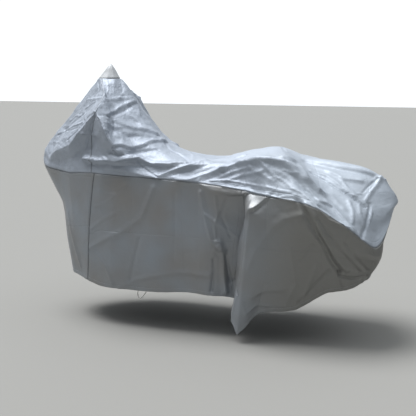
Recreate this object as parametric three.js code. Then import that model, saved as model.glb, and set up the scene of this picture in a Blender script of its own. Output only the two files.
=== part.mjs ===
// A fitted motorcycle cover of coated cloth, as it hangs on the machine it was made for: a peak
// over the screen, two tent points over the bar ends, a low saddle over the seat, a raised tail,
// and side skirts that end in a hem. Millimetres, +X to the back, +Z up, the left side at -Y.
// The origin is on the underside of the top, over the seat, where the cover rests.
import * as THREE from "three";

// Driving sizes
const CLOTH = 3;                // thickness of the hem-heavy coated cloth
const SEAM_GAP = 0.3;           // between two pieces that are sewn edge to edge
const SEAT_X = 90;              // where the top rests on the seat, behind the middle of the machine
const SEAT_Z = 958;             // height of the top there above the ground
const CAP_X = -584;             // centre of the cap's lower edge
const CAP_Z = 1428;             // its height above the ground
const CAP_HALF_LENGTH = 70;
const CAP_HALF_WIDTH = 55;
const TIP_X = -575;             // the cap's tip
const TIP_Z = 1514;
const SILVER = 0xb4b9bd;
const CAP_SILVER = 0xb9bcbe;
const GREY = 0x767d84;
const PALE_CORD = 0xb9bdc2;
const CORD = 5;                 // thickness of the loop under the hem
const CORD_SIDES = 10;
const CORD_STEPS = 24;

// Nineteen spans lie between twenty ribs, from the middle of the nose to the middle of the back.
// Each rib has a point at each of these levels, as x, out from the middle plane, and z above the ground.
const LEVELS = ["hem", "knee", "waist", "belt", "flank", "brow", "arch", "crown"];
const SKIRT = [
  // rib 0, the middle of the nose
  { hem: [-840, 0, 270], knee: [-885, 0, 440], waist: [-915, 0, 655], belt: [-1055, 0, 890] },
  { hem: [-810, 90, 265], knee: [-840, 105, 440], waist: [-860, 105, 665], belt: [-965, 110, 885] },
  { hem: [-755, 180, 262], knee: [-780, 195, 450], waist: [-795, 195, 675], belt: [-850, 190, 880] },
  { hem: [-690, 240, 258], knee: [-700, 265, 465], waist: [-715, 265, 685], belt: [-725, 260, 875] },
  // rib 4, where the front seams and the tent points are
  { hem: [-600, 290, 245], knee: [-580, 320, 490], waist: [-570, 330, 690], belt: [-545, 330, 888] },
  { hem: [-495, 330, 222], knee: [-475, 355, 535], waist: [-480, 350, 700], belt: [-470, 345, 886] },
  { hem: [-400, 340, 222], knee: [-385, 365, 535], waist: [-390, 360, 700], belt: [-390, 350, 883] },
  { hem: [-230, 350, 222], knee: [-215, 375, 535], waist: [-220, 365, 700], belt: [-220, 355, 880] },
  { hem: [-65, 350, 230], knee: [-55, 375, 535], waist: [-65, 365, 700], belt: [-75, 355, 874] },
  { hem: [95, 345, 240], knee: [95, 370, 535], waist: [90, 360, 700], belt: [85, 350, 866] },
  { hem: [225, 340, 232], knee: [235, 365, 530], waist: [235, 355, 690], belt: [230, 345, 853] },
  // rib 11, the deep fold ahead of the corner
  { hem: [335, 285, 218], knee: [355, 300, 515], waist: [390, 300, 690], belt: [395, 345, 835] },
  { hem: [345, 400, 116], knee: [425, 425, 510], waist: [435, 415, 715], belt: [425, 355, 828] },
  // rib 13, the hanging corner
  { hem: [395, 420, 50], knee: [450, 445, 515], waist: [470, 445, 735], belt: [462, 370, 822] },
  { hem: [497, 372, 160], knee: [570, 430, 507], waist: [560, 432, 700], belt: [560, 408, 815] },
  { hem: [705, 350, 204], knee: [725, 415, 515], waist: [720, 432, 665], belt: [715, 425, 803] },
  { hem: [875, 330, 305], knee: [875, 395, 515], waist: [860, 425, 635], belt: [850, 425, 762] },
  { hem: [985, 290, 331], knee: [1000, 355, 489], waist: [985, 395, 575], belt: [982, 400, 680] },
  { hem: [1062, 180, 371], knee: [1122, 250, 474], waist: [1128, 270, 515], belt: [1108, 274, 556] },
  // rib 19, the middle of the back
  { hem: [930, 0, 520], knee: [1000, 0, 600], waist: [1080, 0, 680], belt: [1150, 0, 735] },
];
// The hood above the belt. The crown of a front rib is an angle round the cap's lower edge, and of
// any other rib its x and z on the spine. Flank and arch are set off from halfway points.
const HOOD = [
  { brow: [-1045, 0, 990], ring: 0, flank: [-10, 0, 0], arch: [-2, 0, 3] },
  { brow: [-948, 112, 948], ring: 20, flank: [-5, 0, 0], arch: [0, 2, 0] },
  { brow: [-862, 203, 991], ring: 38, flank: [0, -5, 0], arch: [8, -4, 0] },
  { brow: [-707, 282, 1044], ring: 52, flank: [0, -15, 0], arch: [10, 0, 0] },
  { brow: [-488, 380, 1249], ring: 65, flank: [-35, -45, 0], arch: [35, 0, -10] },   // 4 tent point
  { brow: [-425, 370, 1125], ring: 95, flank: [-20, -35, 0], arch: [20, 0, -10] },
  { brow: [-381, 360, 1029], ring: 135, flank: [0, -10, 0], arch: [0, 0, -10] },
  { brow: [-250, 322, 984], ring: 180, flank: [0, 0, 0], arch: [0, 0, -15] },
  { brow: [-100, 325, 955], spine: [-350, 1225], flank: [0, 0, 0], arch: [0, 0, -10] },
  { brow: [45, 320, 954], spine: [-185, 1048], flank: [0, 0, 0], arch: [0, 0, 0] },
  { brow: [165, 280, 965], spine: [-30, 990], flank: [0, 0, 0], arch: [0, 0, 0] },
  { brow: [329, 285, 973], spine: [SEAT_X, SEAT_Z], flank: [0, 0, 0], arch: [0, 0, 0] },
  { brow: [365, 290, 984], spine: [150, 970], flank: [0, -15, 0], arch: [0, 0, 0] },
  { brow: [407, 295, 995], spine: [215, 995], flank: [0, -25, 0], arch: [0, 0, 0] },
  { brow: [500, 300, 1013], spine: [350, 1030], flank: [0, -30, 0], arch: [0, 0, 0] },
  { brow: [647, 300, 1002], spine: [500, 1048], flank: [0, -25, 0], arch: [0, 0, 0] },
  { brow: [787, 300, 869], spine: [620, 1003], flank: [0, -10, 0], arch: [0, 0, 0] },
  { brow: [937, 330, 735], spine: [850, 975], flank: [0, 0, 0], arch: [0, 0, 0] },
  { brow: [1065, 180, 740], spine: [1010, 940], flank: [0, 0, 0], arch: [0, 0, 0] },
  { brow: [1170, 0, 770], spine: [1100, 890], flank: [0, 0, 0], arch: [0, 0, 0] },
];
// How softly the cloth bends across each rib and each level: 0 a crisp crease, 1 a smooth bend.
const RIB_SOFTNESS = [1, 1, 0.4, 0.3, 0, 0.3, 0.2, 0.7, 1, 1, 0.8, 0, 0, 0, 0.6, 0.6, 0.7, 0.8, 0.9, 1];
const LEVEL_SOFTNESS = [1, 1, 0.6, 0.2, 0.5, 0.3, 0.7, 1];
// Where the right side hangs otherwise than the left: how far the point of a rib moves.
const RIGHT_SIDE = [
  { rib: 3, level: "brow", by: [-60, -20, 30] },
  { rib: 4, level: "brow", by: [-75, -30, 55] },
  { rib: 5, level: "brow", by: [-60, -20, 60] },
  { rib: 6, level: "brow", by: [-40, -20, 40] },
  { rib: 6, level: "arch", by: [0, 0, -10] },
  { rib: 7, level: "arch", by: [0, 0, -40] },
  { rib: 8, level: "arch", by: [0, 0, -45] },
  { rib: 9, level: "arch", by: [0, 0, -20] },
  { rib: 11, level: "hem", by: [0, 25, 20] },
  { rib: 11, level: "knee", by: [0, 30, 0] },
  { rib: 11, level: "waist", by: [0, 25, 0] },
  { rib: 12, level: "hem", by: [10, -30, 90] },
  { rib: 12, level: "knee", by: [0, -30, 0] },
  { rib: 12, level: "waist", by: [0, -35, 0] },
  { rib: 13, level: "hem", by: [0, -50, 110] },
  { rib: 13, level: "knee", by: [0, -45, 0] },
  { rib: 13, level: "waist", by: [0, -50, 0] },
  { rib: 14, level: "hem", by: [0, -10, 50] },
  { rib: 14, level: "knee", by: [0, -20, 0] },
  { rib: 17, level: "belt", by: [-20, 0, 30] },
  { rib: 17, level: "waist", by: [-30, 0, 40] },
  { rib: 17, level: "knee", by: [-50, 0, 30] },
  { rib: 17, level: "hem", by: [-60, 0, 30] },
  { rib: 18, level: "belt", by: [-60, -20, 90] },
  { rib: 18, level: "waist", by: [-80, -20, 100] },
  { rib: 18, level: "knee", by: [-110, -20, 90] },
  { rib: 18, level: "hem", by: [-120, -10, 90] },
  { rib: 18, level: "brow", by: [-20, 0, 20] },
];
// The main folds. A fold runs through places given as [rib, level] and stands proud by rise at its
// first and last place (below 0 it is a trough). Reach is how wide it is above its line and below
// it, seen along the line from outside, and crisp is how sharp its crest is, from 0 to 1. A fold
// that says both is on the two sides of the cover.
const FOLDS = [
  { at: [[2.2, 6.4], [4.3, 6], [6.6, 6.5], [7.6, 6.9]],
    rise: [4, 8], reach: [18, 24], crisp: 0.8, both: true },
  { at: [[4.9, 5.6], [6.6, 6.3], [7.7, 6.9]], rise: [9, 15], reach: [24, 14], crisp: 0.8 },
  { at: [[5.3, 5.8], [6.8, 6.2], [7.7, 6.9]], rise: [-7, -8], reach: [12, 26], crisp: 0.6 },
  { at: [[5.9, 5.8], [7.1, 5.8], [7.6, 6], [8.3, 6.4]],
    rise: [8, 18], reach: [60, 30], crisp: 0.8, both: true },
  { at: [[6.1, 5.6], [6.7, 5.5], [7.3, 5.6], [8.3, 6.2]],
    rise: [-9, -12], reach: [22, 40], crisp: 0.6, both: true },
  { at: [[5.5, 5.1], [6.3, 5.2], [7.5, 5.5], [8.8, 6.6]],
    rise: [10, 20], reach: [46, 20], crisp: 0.8, both: true },
  { at: [[0.5, 5.5], [2.3, 5.6], [3.4, 5.3]], rise: [3, 8], reach: [18, 18], crisp: 0.8, both: true },
  { at: [[4, 5], [4, 4.4]], rise: [-14, -10], reach: [20, 20], crisp: 0.5, both: true },
  { at: [[4.1, 5], [4.8, 5], [6, 4.8]], rise: [-12, -16], reach: [20, 20], crisp: 0.6, both: true },
  { at: [[3.7, 3.5], [4.7, 3.5], [5.9, 4.1], [7.1, 5], [8.3, 5], [9.1, 5.1]],
    rise: [9, 14], reach: [34, 20], crisp: 0.8, both: true },
  { at: [[5.5, 4.3], [6.5, 5], [8.1, 5.6]], rise: [-12, -12], reach: [20, 20], crisp: 0.5, both: true },
  { at: [[5.3, 3.3], [6.3, 3.5], [7.8, 3.1]], rise: [3, 9], reach: [26, 16], crisp: 0.8, both: true },
  { at: [[7.8, 3.4], [8.8, 4.7], [10, 5.3]], rise: [6, 14], reach: [20, 30], crisp: 0.8, both: true },
  { at: [[8.1, 3.4], [9.9, 4.8], [10.7, 5.4], [13.3, 6.2]],
    rise: [-4, -9], reach: [26, 26], crisp: 0.5, both: true },
  { at: [[8.5, 3], [9.5, 3.8], [10.5, 4.6]], rise: [8, 14], reach: [24, 34], crisp: 0.8, both: true },
  { at: [[10.5, 4.6], [11.9, 5], [14.7, 5.1]], rise: [14, 8], reach: [24, 30], crisp: 0.8, both: true },
  { at: [[8.7, 6.4], [9, 6.1], [9.3, 5.1]], rise: [-7, -10], reach: [20, 20], crisp: 0.6 },
  { at: [[14.2, 4.7], [15.2, 4.3], [15.4, 3.9]],
    rise: [-10, -10], reach: [22, 24], crisp: 0.4, both: true },
  { at: [[14.8, 5.1], [15.4, 5.3], [15.9, 4.9], [16.1, 4.9]],
    rise: [14, 14], reach: [60, 30], crisp: 0.8, both: true },
  { at: [[16, 3.3], [16.8, 3.6], [17, 3.3]],
    rise: [-12, -10], reach: [20, 20], crisp: 0.5, both: true },
  { at: [[16, 3.7], [16.7, 5], [17.2, 3.3]], rise: [9, 9], reach: [40, 20], crisp: 0.8, both: true },
  { at: [[16.1, 6], [16.9, 5.9], [17.8, 5.2]],
    rise: [-6, -10], reach: [20, 22], crisp: 0.7, both: true },
  { at: [[16.1, 6.6], [17, 6.5], [17.9, 6.6]],
    rise: [-8, -20], reach: [22, 26], crisp: 0.3, both: true },
  { at: [[17.8, 5.5], [18.3, 6.3], [18.5, 6.7]],
    rise: [9, 10], reach: [18, 24], crisp: 0.8, both: true },
  { at: [[18, 5.3], [17.7, 4], [17.5, 3.1]], rise: [-9, -9], reach: [16, 18], crisp: 0.6, both: true },
  { at: [[4.6, 2.6], [5.7, 2.5], [6.5, 2.7]], rise: [-9, -8], reach: [24, 18], crisp: 0.3, both: true },
  { at: [[4.3, 0.8], [6.2, 1.1], [7.1, 1.7], [7.6, 2.7]],
    rise: [6, 6], reach: [30, 18], crisp: 0.6, both: true },
  { at: [[9.4, 2.7], [9.6, 2], [9.9, 1.1], [10.2, 0.9]],
    rise: [8, 11], reach: [40, 22], crisp: 0.6, both: true },
  { at: [[6.2, 0], [7.4, 0.3], [9, 0.4], [10, 0.4]],
    rise: [4, 7], reach: [24, 24], crisp: 0.6, both: true },
  { at: [[10, 0.7], [9.9, 0.1]], rise: [-10, -15], reach: [20, 20], crisp: 0.5, both: true },
  { at: [[10.2, 1.1], [10.4, 0.5], [10.5, 0.1]],
    rise: [12, 20], reach: [26, 26], crisp: 0.5, both: true },
  { at: [[9.4, 3], [10.6, 2.8], [11.8, 2.9]], rise: [5, 20], reach: [38, 20], crisp: 0.8, both: true },
  { at: [[13.2, 2.2], [13.6, 2.6], [14, 3]], rise: [18, 10], reach: [64, 20], crisp: 0.8, both: true },
  { at: [[13.2, 0.8], [14.2, 1.8], [15.2, 2.5]],
    rise: [6, 6], reach: [32, 26], crisp: 0.6, both: true },
  { at: [[15.1, 3], [15.7, 2.1], [16.2, 0.9], [16.5, 0.6]],
    rise: [-10, -15], reach: [24, 20], crisp: 0.5, both: true },
  { at: [[15.4, 3], [16.1, 1.9], [16.8, 0.7]], rise: [8, 11], reach: [22, 20], crisp: 0.6, both: true },
];
const RIGHT_FOLD_DRIFT = 0.12;  // how far, in ribs, the right side's folds run off the mirror image
const RIGHT_FOLD_RISE = 0.85;   // how much lower they are
const RIGHT_FOLD_REACH = 1.2;   // and how much wider
const DEEP = 70;                // a fold's chords run at most this far under the curved cloth
const TAUT = { from: [6, 7], to: [9, 10.5], share: 0.9, below: 0.4 };   // the spine behind the cap
// The loop of cord under the left hem: how far back and down from its first end each point lies.
const LOOP_FROM = 6.93;         // the rib count at its first end
const LOOP_TO = 7.25;           // and at its second end
const LOOP_CLEAR = 0.45;        // from the hem's edge to each end of the cord
const LOOP_DROPS = [
  { along: 0, drop: 6 },
  { along: -0.04, drop: 16 },
  { along: -0.02, drop: 26 },
  { along: 0.07, drop: 38 },
  { along: 0.22, drop: 44 },
  { along: 0.42, drop: 41 },
  { along: 0.64, drop: 30 },
  { along: 0.83, drop: 17 },
  { along: 1, drop: 6 },
];
// How many strips the cloth is divided into between two ribs, from nose to back, between two
// levels, from hem to crown, and up the cap.
const STRIPS_ROUND = [3, 3, 3, 3, 3, 3, 3, 4, 4, 4, 4, 3, 2, 3, 4, 4, 4, 4, 3];
const STRIPS_UP = [5, 4, 4, 3, 3, 3, 3];
const CAP_HEIGHTS = [0.25, 0.5, 0.74, 0.92];
const SEAM_RIB = 4;             // the upper front seams
const LOWER_SEAM_RIB = 4 + 1 / 3;
const LOWER_SEAM_LEAN = 0.3;    // how far forward the lower front seam leans on its way to the hem
const LAST_RIB = SKIRT.length - 1;
const ROUND = 2 * LAST_RIB;     // ribs round the whole cover, left side first
const CROWN = LEVELS.length - 1;
const BELT = LEVELS.indexOf("belt");
const RING_RIB = 7;             // the last rib that ends at the cap
const SLACK = 4;                // how far the cloth stands off its even run between folds

const vec = (x, y, z) => new THREE.Vector3(x, y, z);
const halfway = (a, b) => a.map((value, k) => (value + b[k]) / 2);
const plus = (a, b) => a.map((value, k) => value + b[k]);

// The eight points of one rib, with side -1 for the left and 1 for the right.
function ribPoints(rib, side) {
  const skirt = SKIRT[rib];
  const hood = HOOD[rib];
  const shift = (level) => {
    const change = RIGHT_SIDE.find((row) => row.rib === rib && row.level === level);
    return side > 0 && change ? change.by : [0, 0, 0];
  };
  const angle = THREE.MathUtils.degToRad(hood.ring ?? 0);
  const crown = hood.spine
    ? [hood.spine[0], 0, hood.spine[1]]
    : [CAP_X - CAP_HALF_LENGTH * Math.cos(angle), CAP_HALF_WIDTH * Math.sin(angle), CAP_Z];
  const belt = plus(skirt.belt, shift("belt"));
  const brow = plus(hood.brow, shift("brow"));
  const points = [
    plus(skirt.hem, shift("hem")),
    plus(skirt.knee, shift("knee")),
    plus(skirt.waist, shift("waist")),
    belt,
    plus(halfway(belt, brow), hood.flank),
    brow,
    plus(plus(halfway(brow, crown), hood.arch), shift("arch")),
    crown,
  ];
  return points.map(([x, out, z]) => vec(x, side * out, z));
}

const ribs = [];
for (let rib = 0; rib <= LAST_RIB; rib += 1) ribs.push(ribPoints(rib, -1));
for (let rib = LAST_RIB - 1; rib > 0; rib -= 1) ribs.push(ribPoints(rib, 1));
const ribSoftness = (rib) => RIB_SOFTNESS[rib <= LAST_RIB ? rib : ROUND - rib];

// The slope of a curve at a point b with neighbours a and c, weighted by how near each one is.
function slope(a, b, c) {
  const before = Math.max(a.distanceTo(b), 1e-6);
  const after = Math.max(b.distanceTo(c), 1e-6);
  const back = b.clone().sub(a).multiplyScalar(after / before);
  const forth = c.clone().sub(b).multiplyScalar(before / after);
  return back.add(forth).divideScalar(before + after);
}

// A point part way from b to c, mixed by softness from the straight run and the curve with the
// given slopes at its two ends.
function between(b, c, slopeB, slopeC, part, softness) {
  const run = b.distanceTo(c);
  const cube = part ** 3;
  const square = part ** 2;
  const curve = b.clone().multiplyScalar(2 * cube - 3 * square + 1)
    .addScaledVector(slopeB, (cube - 2 * square + part) * run)
    .addScaledVector(c, 3 * square - 2 * cube)
    .addScaledVector(slopeC, (cube - square) * run);
  return b.clone().lerp(c, part).lerp(curve, softness);
}

// How many ribs a place is from the middle of the nose, on either side.
function fromNose(round) {
  const turned = ((round % ROUND) + ROUND) % ROUND;
  return Math.min(turned, ROUND - turned);
}

// The point of one level at a place round the cover, counted in ribs.
function levelPoint(level, round) {
  const first = Math.floor(round);
  const part = round - first;
  const at = (rib) => ribs[((rib % ROUND) + ROUND) % ROUND][level];
  const index = (rib) => ((rib % ROUND) + ROUND) % ROUND;
  const [a, b, c, d] = [at(first - 1), at(first), at(first + 1), at(first + 2)];
  const softness = THREE.MathUtils.lerp(ribSoftness(index(first)), ribSoftness(index(first + 1)), part);
  const point = between(b, c, slope(a, b, c), slope(b, c, d), part, softness);
  if (level === CROWN && fromNose(round) >= RING_RIB) point.y = 0;    // the spine stays in the middle
  return point;
}

// The even run of the cloth at a place round the cover and a level from 0 at the hem to 7 at the
// crown. Behind the cap the run goes over the spine and down the other side.
function evenCloth(round, up) {
  const first = Math.min(Math.floor(up), CROWN - 1);
  const part = up - first;
  const b = levelPoint(first, round);
  const c = levelPoint(first + 1, round);
  const chord = c.clone().sub(b).normalize();
  const slopeB = first > 0 ? slope(levelPoint(first - 1, round), b, c) : chord.clone();
  let slopeC = chord.clone();
  if (first + 2 <= CROWN) {
    slopeC = slope(b, c, levelPoint(first + 2, round));
  } else {
    const overSpine = THREE.MathUtils.clamp(fromNose(round) - RING_RIB, 0, 1);
    slopeC.lerp(slope(b, c, levelPoint(first, ROUND - round)), overSpine);
  }
  const softness = THREE.MathUtils.lerp(LEVEL_SOFTNESS[first], LEVEL_SOFTNESS[first + 1], part);
  return between(b, c, slopeB, slopeC, part, softness);
}

// The outward direction of the even run.
function outward(round, up) {
  const step = 0.04;
  const low = Math.max(up - step, 0);
  const high = Math.min(up + step, CROWN);
  const along = evenCloth(round + step, up).sub(evenCloth(round - step, up));
  return along.cross(evenCloth(round, high).sub(evenCloth(round, low))).normalize();
}

// Each fold as a line of places on the even run. On the right side a fold is mirrored, so that its
// two sides change places.
const foldLine = (places) => places.map(([round, up]) => evenCloth(round, up));

function onTheRight({ at, rise, reach, crisp }) {
  const drift = ([round, up]) => RIGHT_FOLD_DRIFT * Math.sin(5 * round + 3 * up);
  return {
    line: foldLine(at.map((place) => [ROUND - place[0] - drift(place), place[1]])),
    rise: rise.map((value) => value * RIGHT_FOLD_RISE),
    reach: [reach[1] * RIGHT_FOLD_REACH, reach[0] * RIGHT_FOLD_REACH],
    crisp,
  };
}

const folds = [];
for (const fold of FOLDS) {
  folds.push({ ...fold, line: foldLine(fold.at) });
  if (fold.both) folds.push(onTheRight(fold));
}

// How far a fold lifts the cloth at a point: its rise at the nearest place of its line, times a
// crest that falls off with the distance, round like a bell or crisp like a ridge. The distance is
// taken along the cloth, so what a chord of the line lies under it doesn't count.
function foldLift(fold, point, normal) {
  const along = (v) => v.clone().addScaledVector(normal, -v.dot(normal));
  const span = fold.line.length - 1;
  let nearest = Infinity;
  let travelled = 0;
  let reach = 1;
  for (let k = 0; k < span; k += 1) {
    const leg = fold.line[k + 1].clone().sub(fold.line[k]);
    const apart = point.clone().sub(fold.line[k]);
    const legFlat = along(leg);
    const apartFlat = along(apart);
    const part = THREE.MathUtils.clamp(apartFlat.dot(legFlat) / (legFlat.lengthSq() + 1), 0, 1);
    const depth = Math.abs(apart.addScaledVector(leg, -part).dot(normal));
    const gap = apartFlat.addScaledVector(legFlat, -part);
    const distance = gap.length() + 2 * Math.max(depth - DEEP, 0);
    if (distance < nearest) {
      nearest = distance;
      travelled = (k + part) / span;
      reach = normal.clone().cross(leg).dot(gap) > 0 ? fold.reach[0] : fold.reach[1];
    }
  }
  const off = nearest / reach;
  if (off > 2) return 0;
  const bell = Math.exp(-2.2 * off * off);
  const ridge = Math.max(0, 1 - off) ** 1.15;
  const rise = THREE.MathUtils.lerp(fold.rise[0], fold.rise[1], travelled);
  return rise * THREE.MathUtils.lerp(bell, ridge, fold.crisp);
}

// A gentle unevenness between the folds, which dies out at the spine and the cap.
function slack(round, up) {
  const turn = (2 * Math.PI * round) / ROUND;
  const broad = Math.sin(13 * turn + 1.7 * up) * Math.cos(8 * turn - 2.3 * up);
  const fine = Math.sin(21 * turn + 0.9 * up);
  return SLACK * (broad + 0.6 * fine) * THREE.MathUtils.smoothstep(CROWN - up, 0, 1.5);
}

// How freely the cloth lifts: fully nearly everywhere, but the steep spine behind the cap is taut.
function loose(round, up) {
  const ribsOff = fromNose(round);
  const taut = THREE.MathUtils.smoothstep(ribsOff, ...TAUT.from)
    * (1 - THREE.MathUtils.smoothstep(ribsOff, ...TAUT.to));
  return 1 - TAUT.share * taut * THREE.MathUtils.smoothstep(up, CROWN - TAUT.below, CROWN);
}

function clothPoint(round, up) {
  const point = evenCloth(round, up);
  const normal = outward(round, up);
  const lift = folds.reduce((sum, fold) => sum + foldLift(fold, point, normal), slack(round, up));
  return point.addScaledVector(normal, lift * loose(round, up));
}

// The places of the net of points: round the cover, and up from hem to crown.
const leftStations = [];
STRIPS_ROUND.forEach((strips, span) => {
  for (let k = 0; k < strips; k += 1) leftStations.push(span + k / strips);
});
const stations = [...leftStations, LAST_RIB, ...leftStations.slice(1).reverse().map((s) => ROUND - s)];
const heights = [];
STRIPS_UP.forEach((strips, span) => {
  for (let k = 0; k < strips; k += 1) heights.push(span + k / strips);
});
heights.push(CROWN);
const columns = stations.length;
const rows = heights.length;

// Below the belt the net leans with the lower front seams.
function leaning(station, up) {
  const mirrored = station > LAST_RIB;
  const place = mirrored ? ROUND - station : station;
  const near = Math.max(0, 1 - Math.abs(place - LOWER_SEAM_RIB));
  const shift = LOWER_SEAM_LEAN * near * Math.max(0, 1 - up / BELT);
  return mirrored ? station + shift : station - shift;
}

// Every point of the net has one number. On the spine, and on the line of the cap over it, the
// points of the right side are those of the left.
const points = [];
const numbers = new Map();
function pointNumber(column, row) {
  const wrapped = (column + columns) % columns;
  const station = stations[wrapped];
  const onSpine = row >= rows - 1 && station >= ROUND - LAST_RIB && station <= ROUND - RING_RIB + 1e-6;
  const key = `${onSpine ? columns - wrapped : wrapped},${row}`;
  if (!numbers.has(key)) {
    numbers.set(key, points.length);
    points.push(netPoint(onSpine ? ROUND - station : station, row));
  }
  return numbers.get(key);
}

function netPoint(station, row) {
  if (row < rows) return clothPoint(leaning(station, heights[row]), heights[row]);
  const up = CAP_HEIGHTS[row - rows];
  const rim = clothPoint(station, CROWN);
  const narrow = (1 - up) * (1 + 0.35 * up * up);
  return vec(TIP_X + (rim.x - TIP_X) * narrow, rim.y * narrow, CAP_Z + (TIP_Z - CAP_Z) * up ** 1.04);
}

// The faces of each piece, as threes of point numbers, counted so that they face outwards.
const faces = new Map();
function addQuad(piece, column, next, row) {
  const corners = [[column, row], [next, row], [next, row + 1], [column, row + 1]];
  const [a, b, c, d] = corners.map(([across, upwards]) => pointNumber(across, upwards));
  const [p, q, r, s] = [a, b, c, d].map((number) => points[number]);
  const list = faces.get(piece) ?? [];
  if (p.distanceTo(r) <= q.distanceTo(s)) list.push([a, b, c], [a, c, d]);
  else list.push([a, b, d], [b, c, d]);
  faces.set(piece, list);
}

function pieceAt(round, up) {
  if (up > BELT) return fromNose(round) < SEAM_RIB ? "nose_panel" : "hood_panel";
  if (fromNose(round) < LOWER_SEAM_RIB) return "front_skirt";
  return round < LAST_RIB ? "left_skirt" : "right_skirt";
}

for (let column = 0; column < columns; column += 1) {
  const next = column + 1;
  const middle = (stations[column] + (next < columns ? stations[next] : ROUND)) / 2;
  for (let row = 0; row + 1 < rows; row += 1) {
    addQuad(pieceAt(middle, (heights[row] + heights[row + 1]) / 2), column, next, row);
  }
}
const ringColumns = stations.indexOf(RING_RIB);
const capTop = rows - 1 + CAP_HEIGHTS.length;
for (let column = -ringColumns; column < ringColumns; column += 1) {
  const next = column + 1;
  for (let row = rows - 1; row < capTop; row += 1) {
    addQuad("peak_cap", column, next, row);
  }
}
const tip = points.push(vec(TIP_X, 0, TIP_Z)) - 1;
for (let column = -ringColumns; column < ringColumns; column += 1) {
  faces.get("peak_cap").push([pointNumber(column, capTop), pointNumber(column + 1, capTop), tip]);
}

// The direction in which each point's cloth faces, and how deep its inner point lies along it, so
// that the wall keeps its thickness over a bend.
const facing = points.map(() => vec(0, 0, 0));
const turned = points.map(() => ({ sum: 0, count: 0 }));
const allFaces = [...faces.values()].flat();
const faceNormal = ([a, b, c]) => {
  const triangle = new THREE.Triangle(points[a], points[b], points[c]);
  return triangle.getNormal(new THREE.Vector3());
};
for (const face of allFaces) {
  const normal = faceNormal(face);
  face.forEach((number, k) => {
    const next = points[face[(k + 1) % 3]].clone().sub(points[number]);
    const last = points[face[(k + 2) % 3]].clone().sub(points[number]);
    facing[number].addScaledVector(normal, next.angleTo(last));
  });
}
facing.forEach((normal) => normal.normalize());
for (const face of allFaces) {
  const normal = faceNormal(face);
  for (const number of face) {
    turned[number].sum += normal.dot(facing[number]);
    turned[number].count += 1;
  }
}
const inner = points.map((point, number) => {
  const straight = Math.max(turned[number].sum / turned[number].count, 0.6);
  return point.clone().addScaledVector(facing[number], -CLOTH / straight);
});

// From the ground under the middle of the machine to the origin over the seat.
const toOrigin = vec(-SEAT_X, 0, CLOTH - SEAT_Z);
const hemPoints = new Set();
for (let column = 0; column < columns; column += 1) hemPoints.add(pointNumber(column, 0));
const isHem = (number) => hemPoints.has(number);

// One piece of cloth as a closed body: its outer and inner faces, and a wall along its edge. At a
// seam the edge stands half the gap back from the seam's line, and at the hem it is the hem.
function clothPiece(name, colour, roughness) {
  const list = faces.get(name);
  const onward = new Map();
  for (const face of list) {
    face.forEach((number, k) => onward.set(`${number},${face[(k + 1) % 3]}`, [number, face[(k + 1) % 3]]));
  }
  const edges = [...onward.values()].filter(([a, b]) => !onward.has(`${b},${a}`));
  const leaving = new Map(edges.map((edge) => [edge[0], edge]));
  const arriving = new Map(edges.map((edge) => [edge[1], edge]));
  const inset = (number) => {
    const sides = [arriving.get(number), leaving.get(number)].map(([a, b]) => {
      const along = points[b].clone().sub(points[a]);
      const inwards = facing[number].clone().cross(along).normalize();
      return { inwards, depth: isHem(a) && isHem(b) ? 0 : SEAM_GAP / 2 };
    });
    const [one, two] = sides;
    const turn = one.inwards.dot(two.inwards);
    const spread = 1 - turn * turn;
    if (spread < 0.02) return one.inwards.multiplyScalar(Math.max(one.depth, two.depth));
    return one.inwards.clone().multiplyScalar((one.depth - turn * two.depth) / spread)
      .addScaledVector(two.inwards, (two.depth - turn * one.depth) / spread);
  };
  const used = [...new Set(list.flat())];
  const index = new Map(used.map((number, k) => [number, k]));
  const count = used.length;
  const positions = new Float32Array(count * 6);
  used.forEach((number, k) => {
    const shift = leaving.has(number) ? inset(number) : vec(0, 0, 0);
    points[number].clone().add(shift).add(toOrigin).toArray(positions, 3 * k);
    inner[number].clone().add(shift).add(toOrigin).toArray(positions, 3 * (count + k));
  });
  const triangles = [];
  for (const [a, b, c] of list) {
    triangles.push(index.get(a), index.get(b), index.get(c));
    triangles.push(count + index.get(a), count + index.get(c), count + index.get(b));
  }
  // Both pieces at a seam cut its twisted wall along the same diagonal, so that the walls stay apart.
  for (const [a, b] of edges) {
    const [outA, outB] = [index.get(a), index.get(b)];
    const [inA, inB] = [count + outA, count + outB];
    if (a < b) triangles.push(outB, outA, inA, outB, inA, inB);
    else triangles.push(outB, outA, inB, outA, inA, inB);
  }
  const geometry = new THREE.BufferGeometry();
  geometry.setAttribute("position", new THREE.BufferAttribute(positions, 3));
  geometry.setIndex(triangles);
  geometry.computeVertexNormals();
  const finish = new THREE.MeshStandardMaterial({ color: colour, roughness, metalness: 0.35 });
  const mesh = new THREE.Mesh(geometry, finish);
  mesh.name = name;
  return mesh;
}

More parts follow.
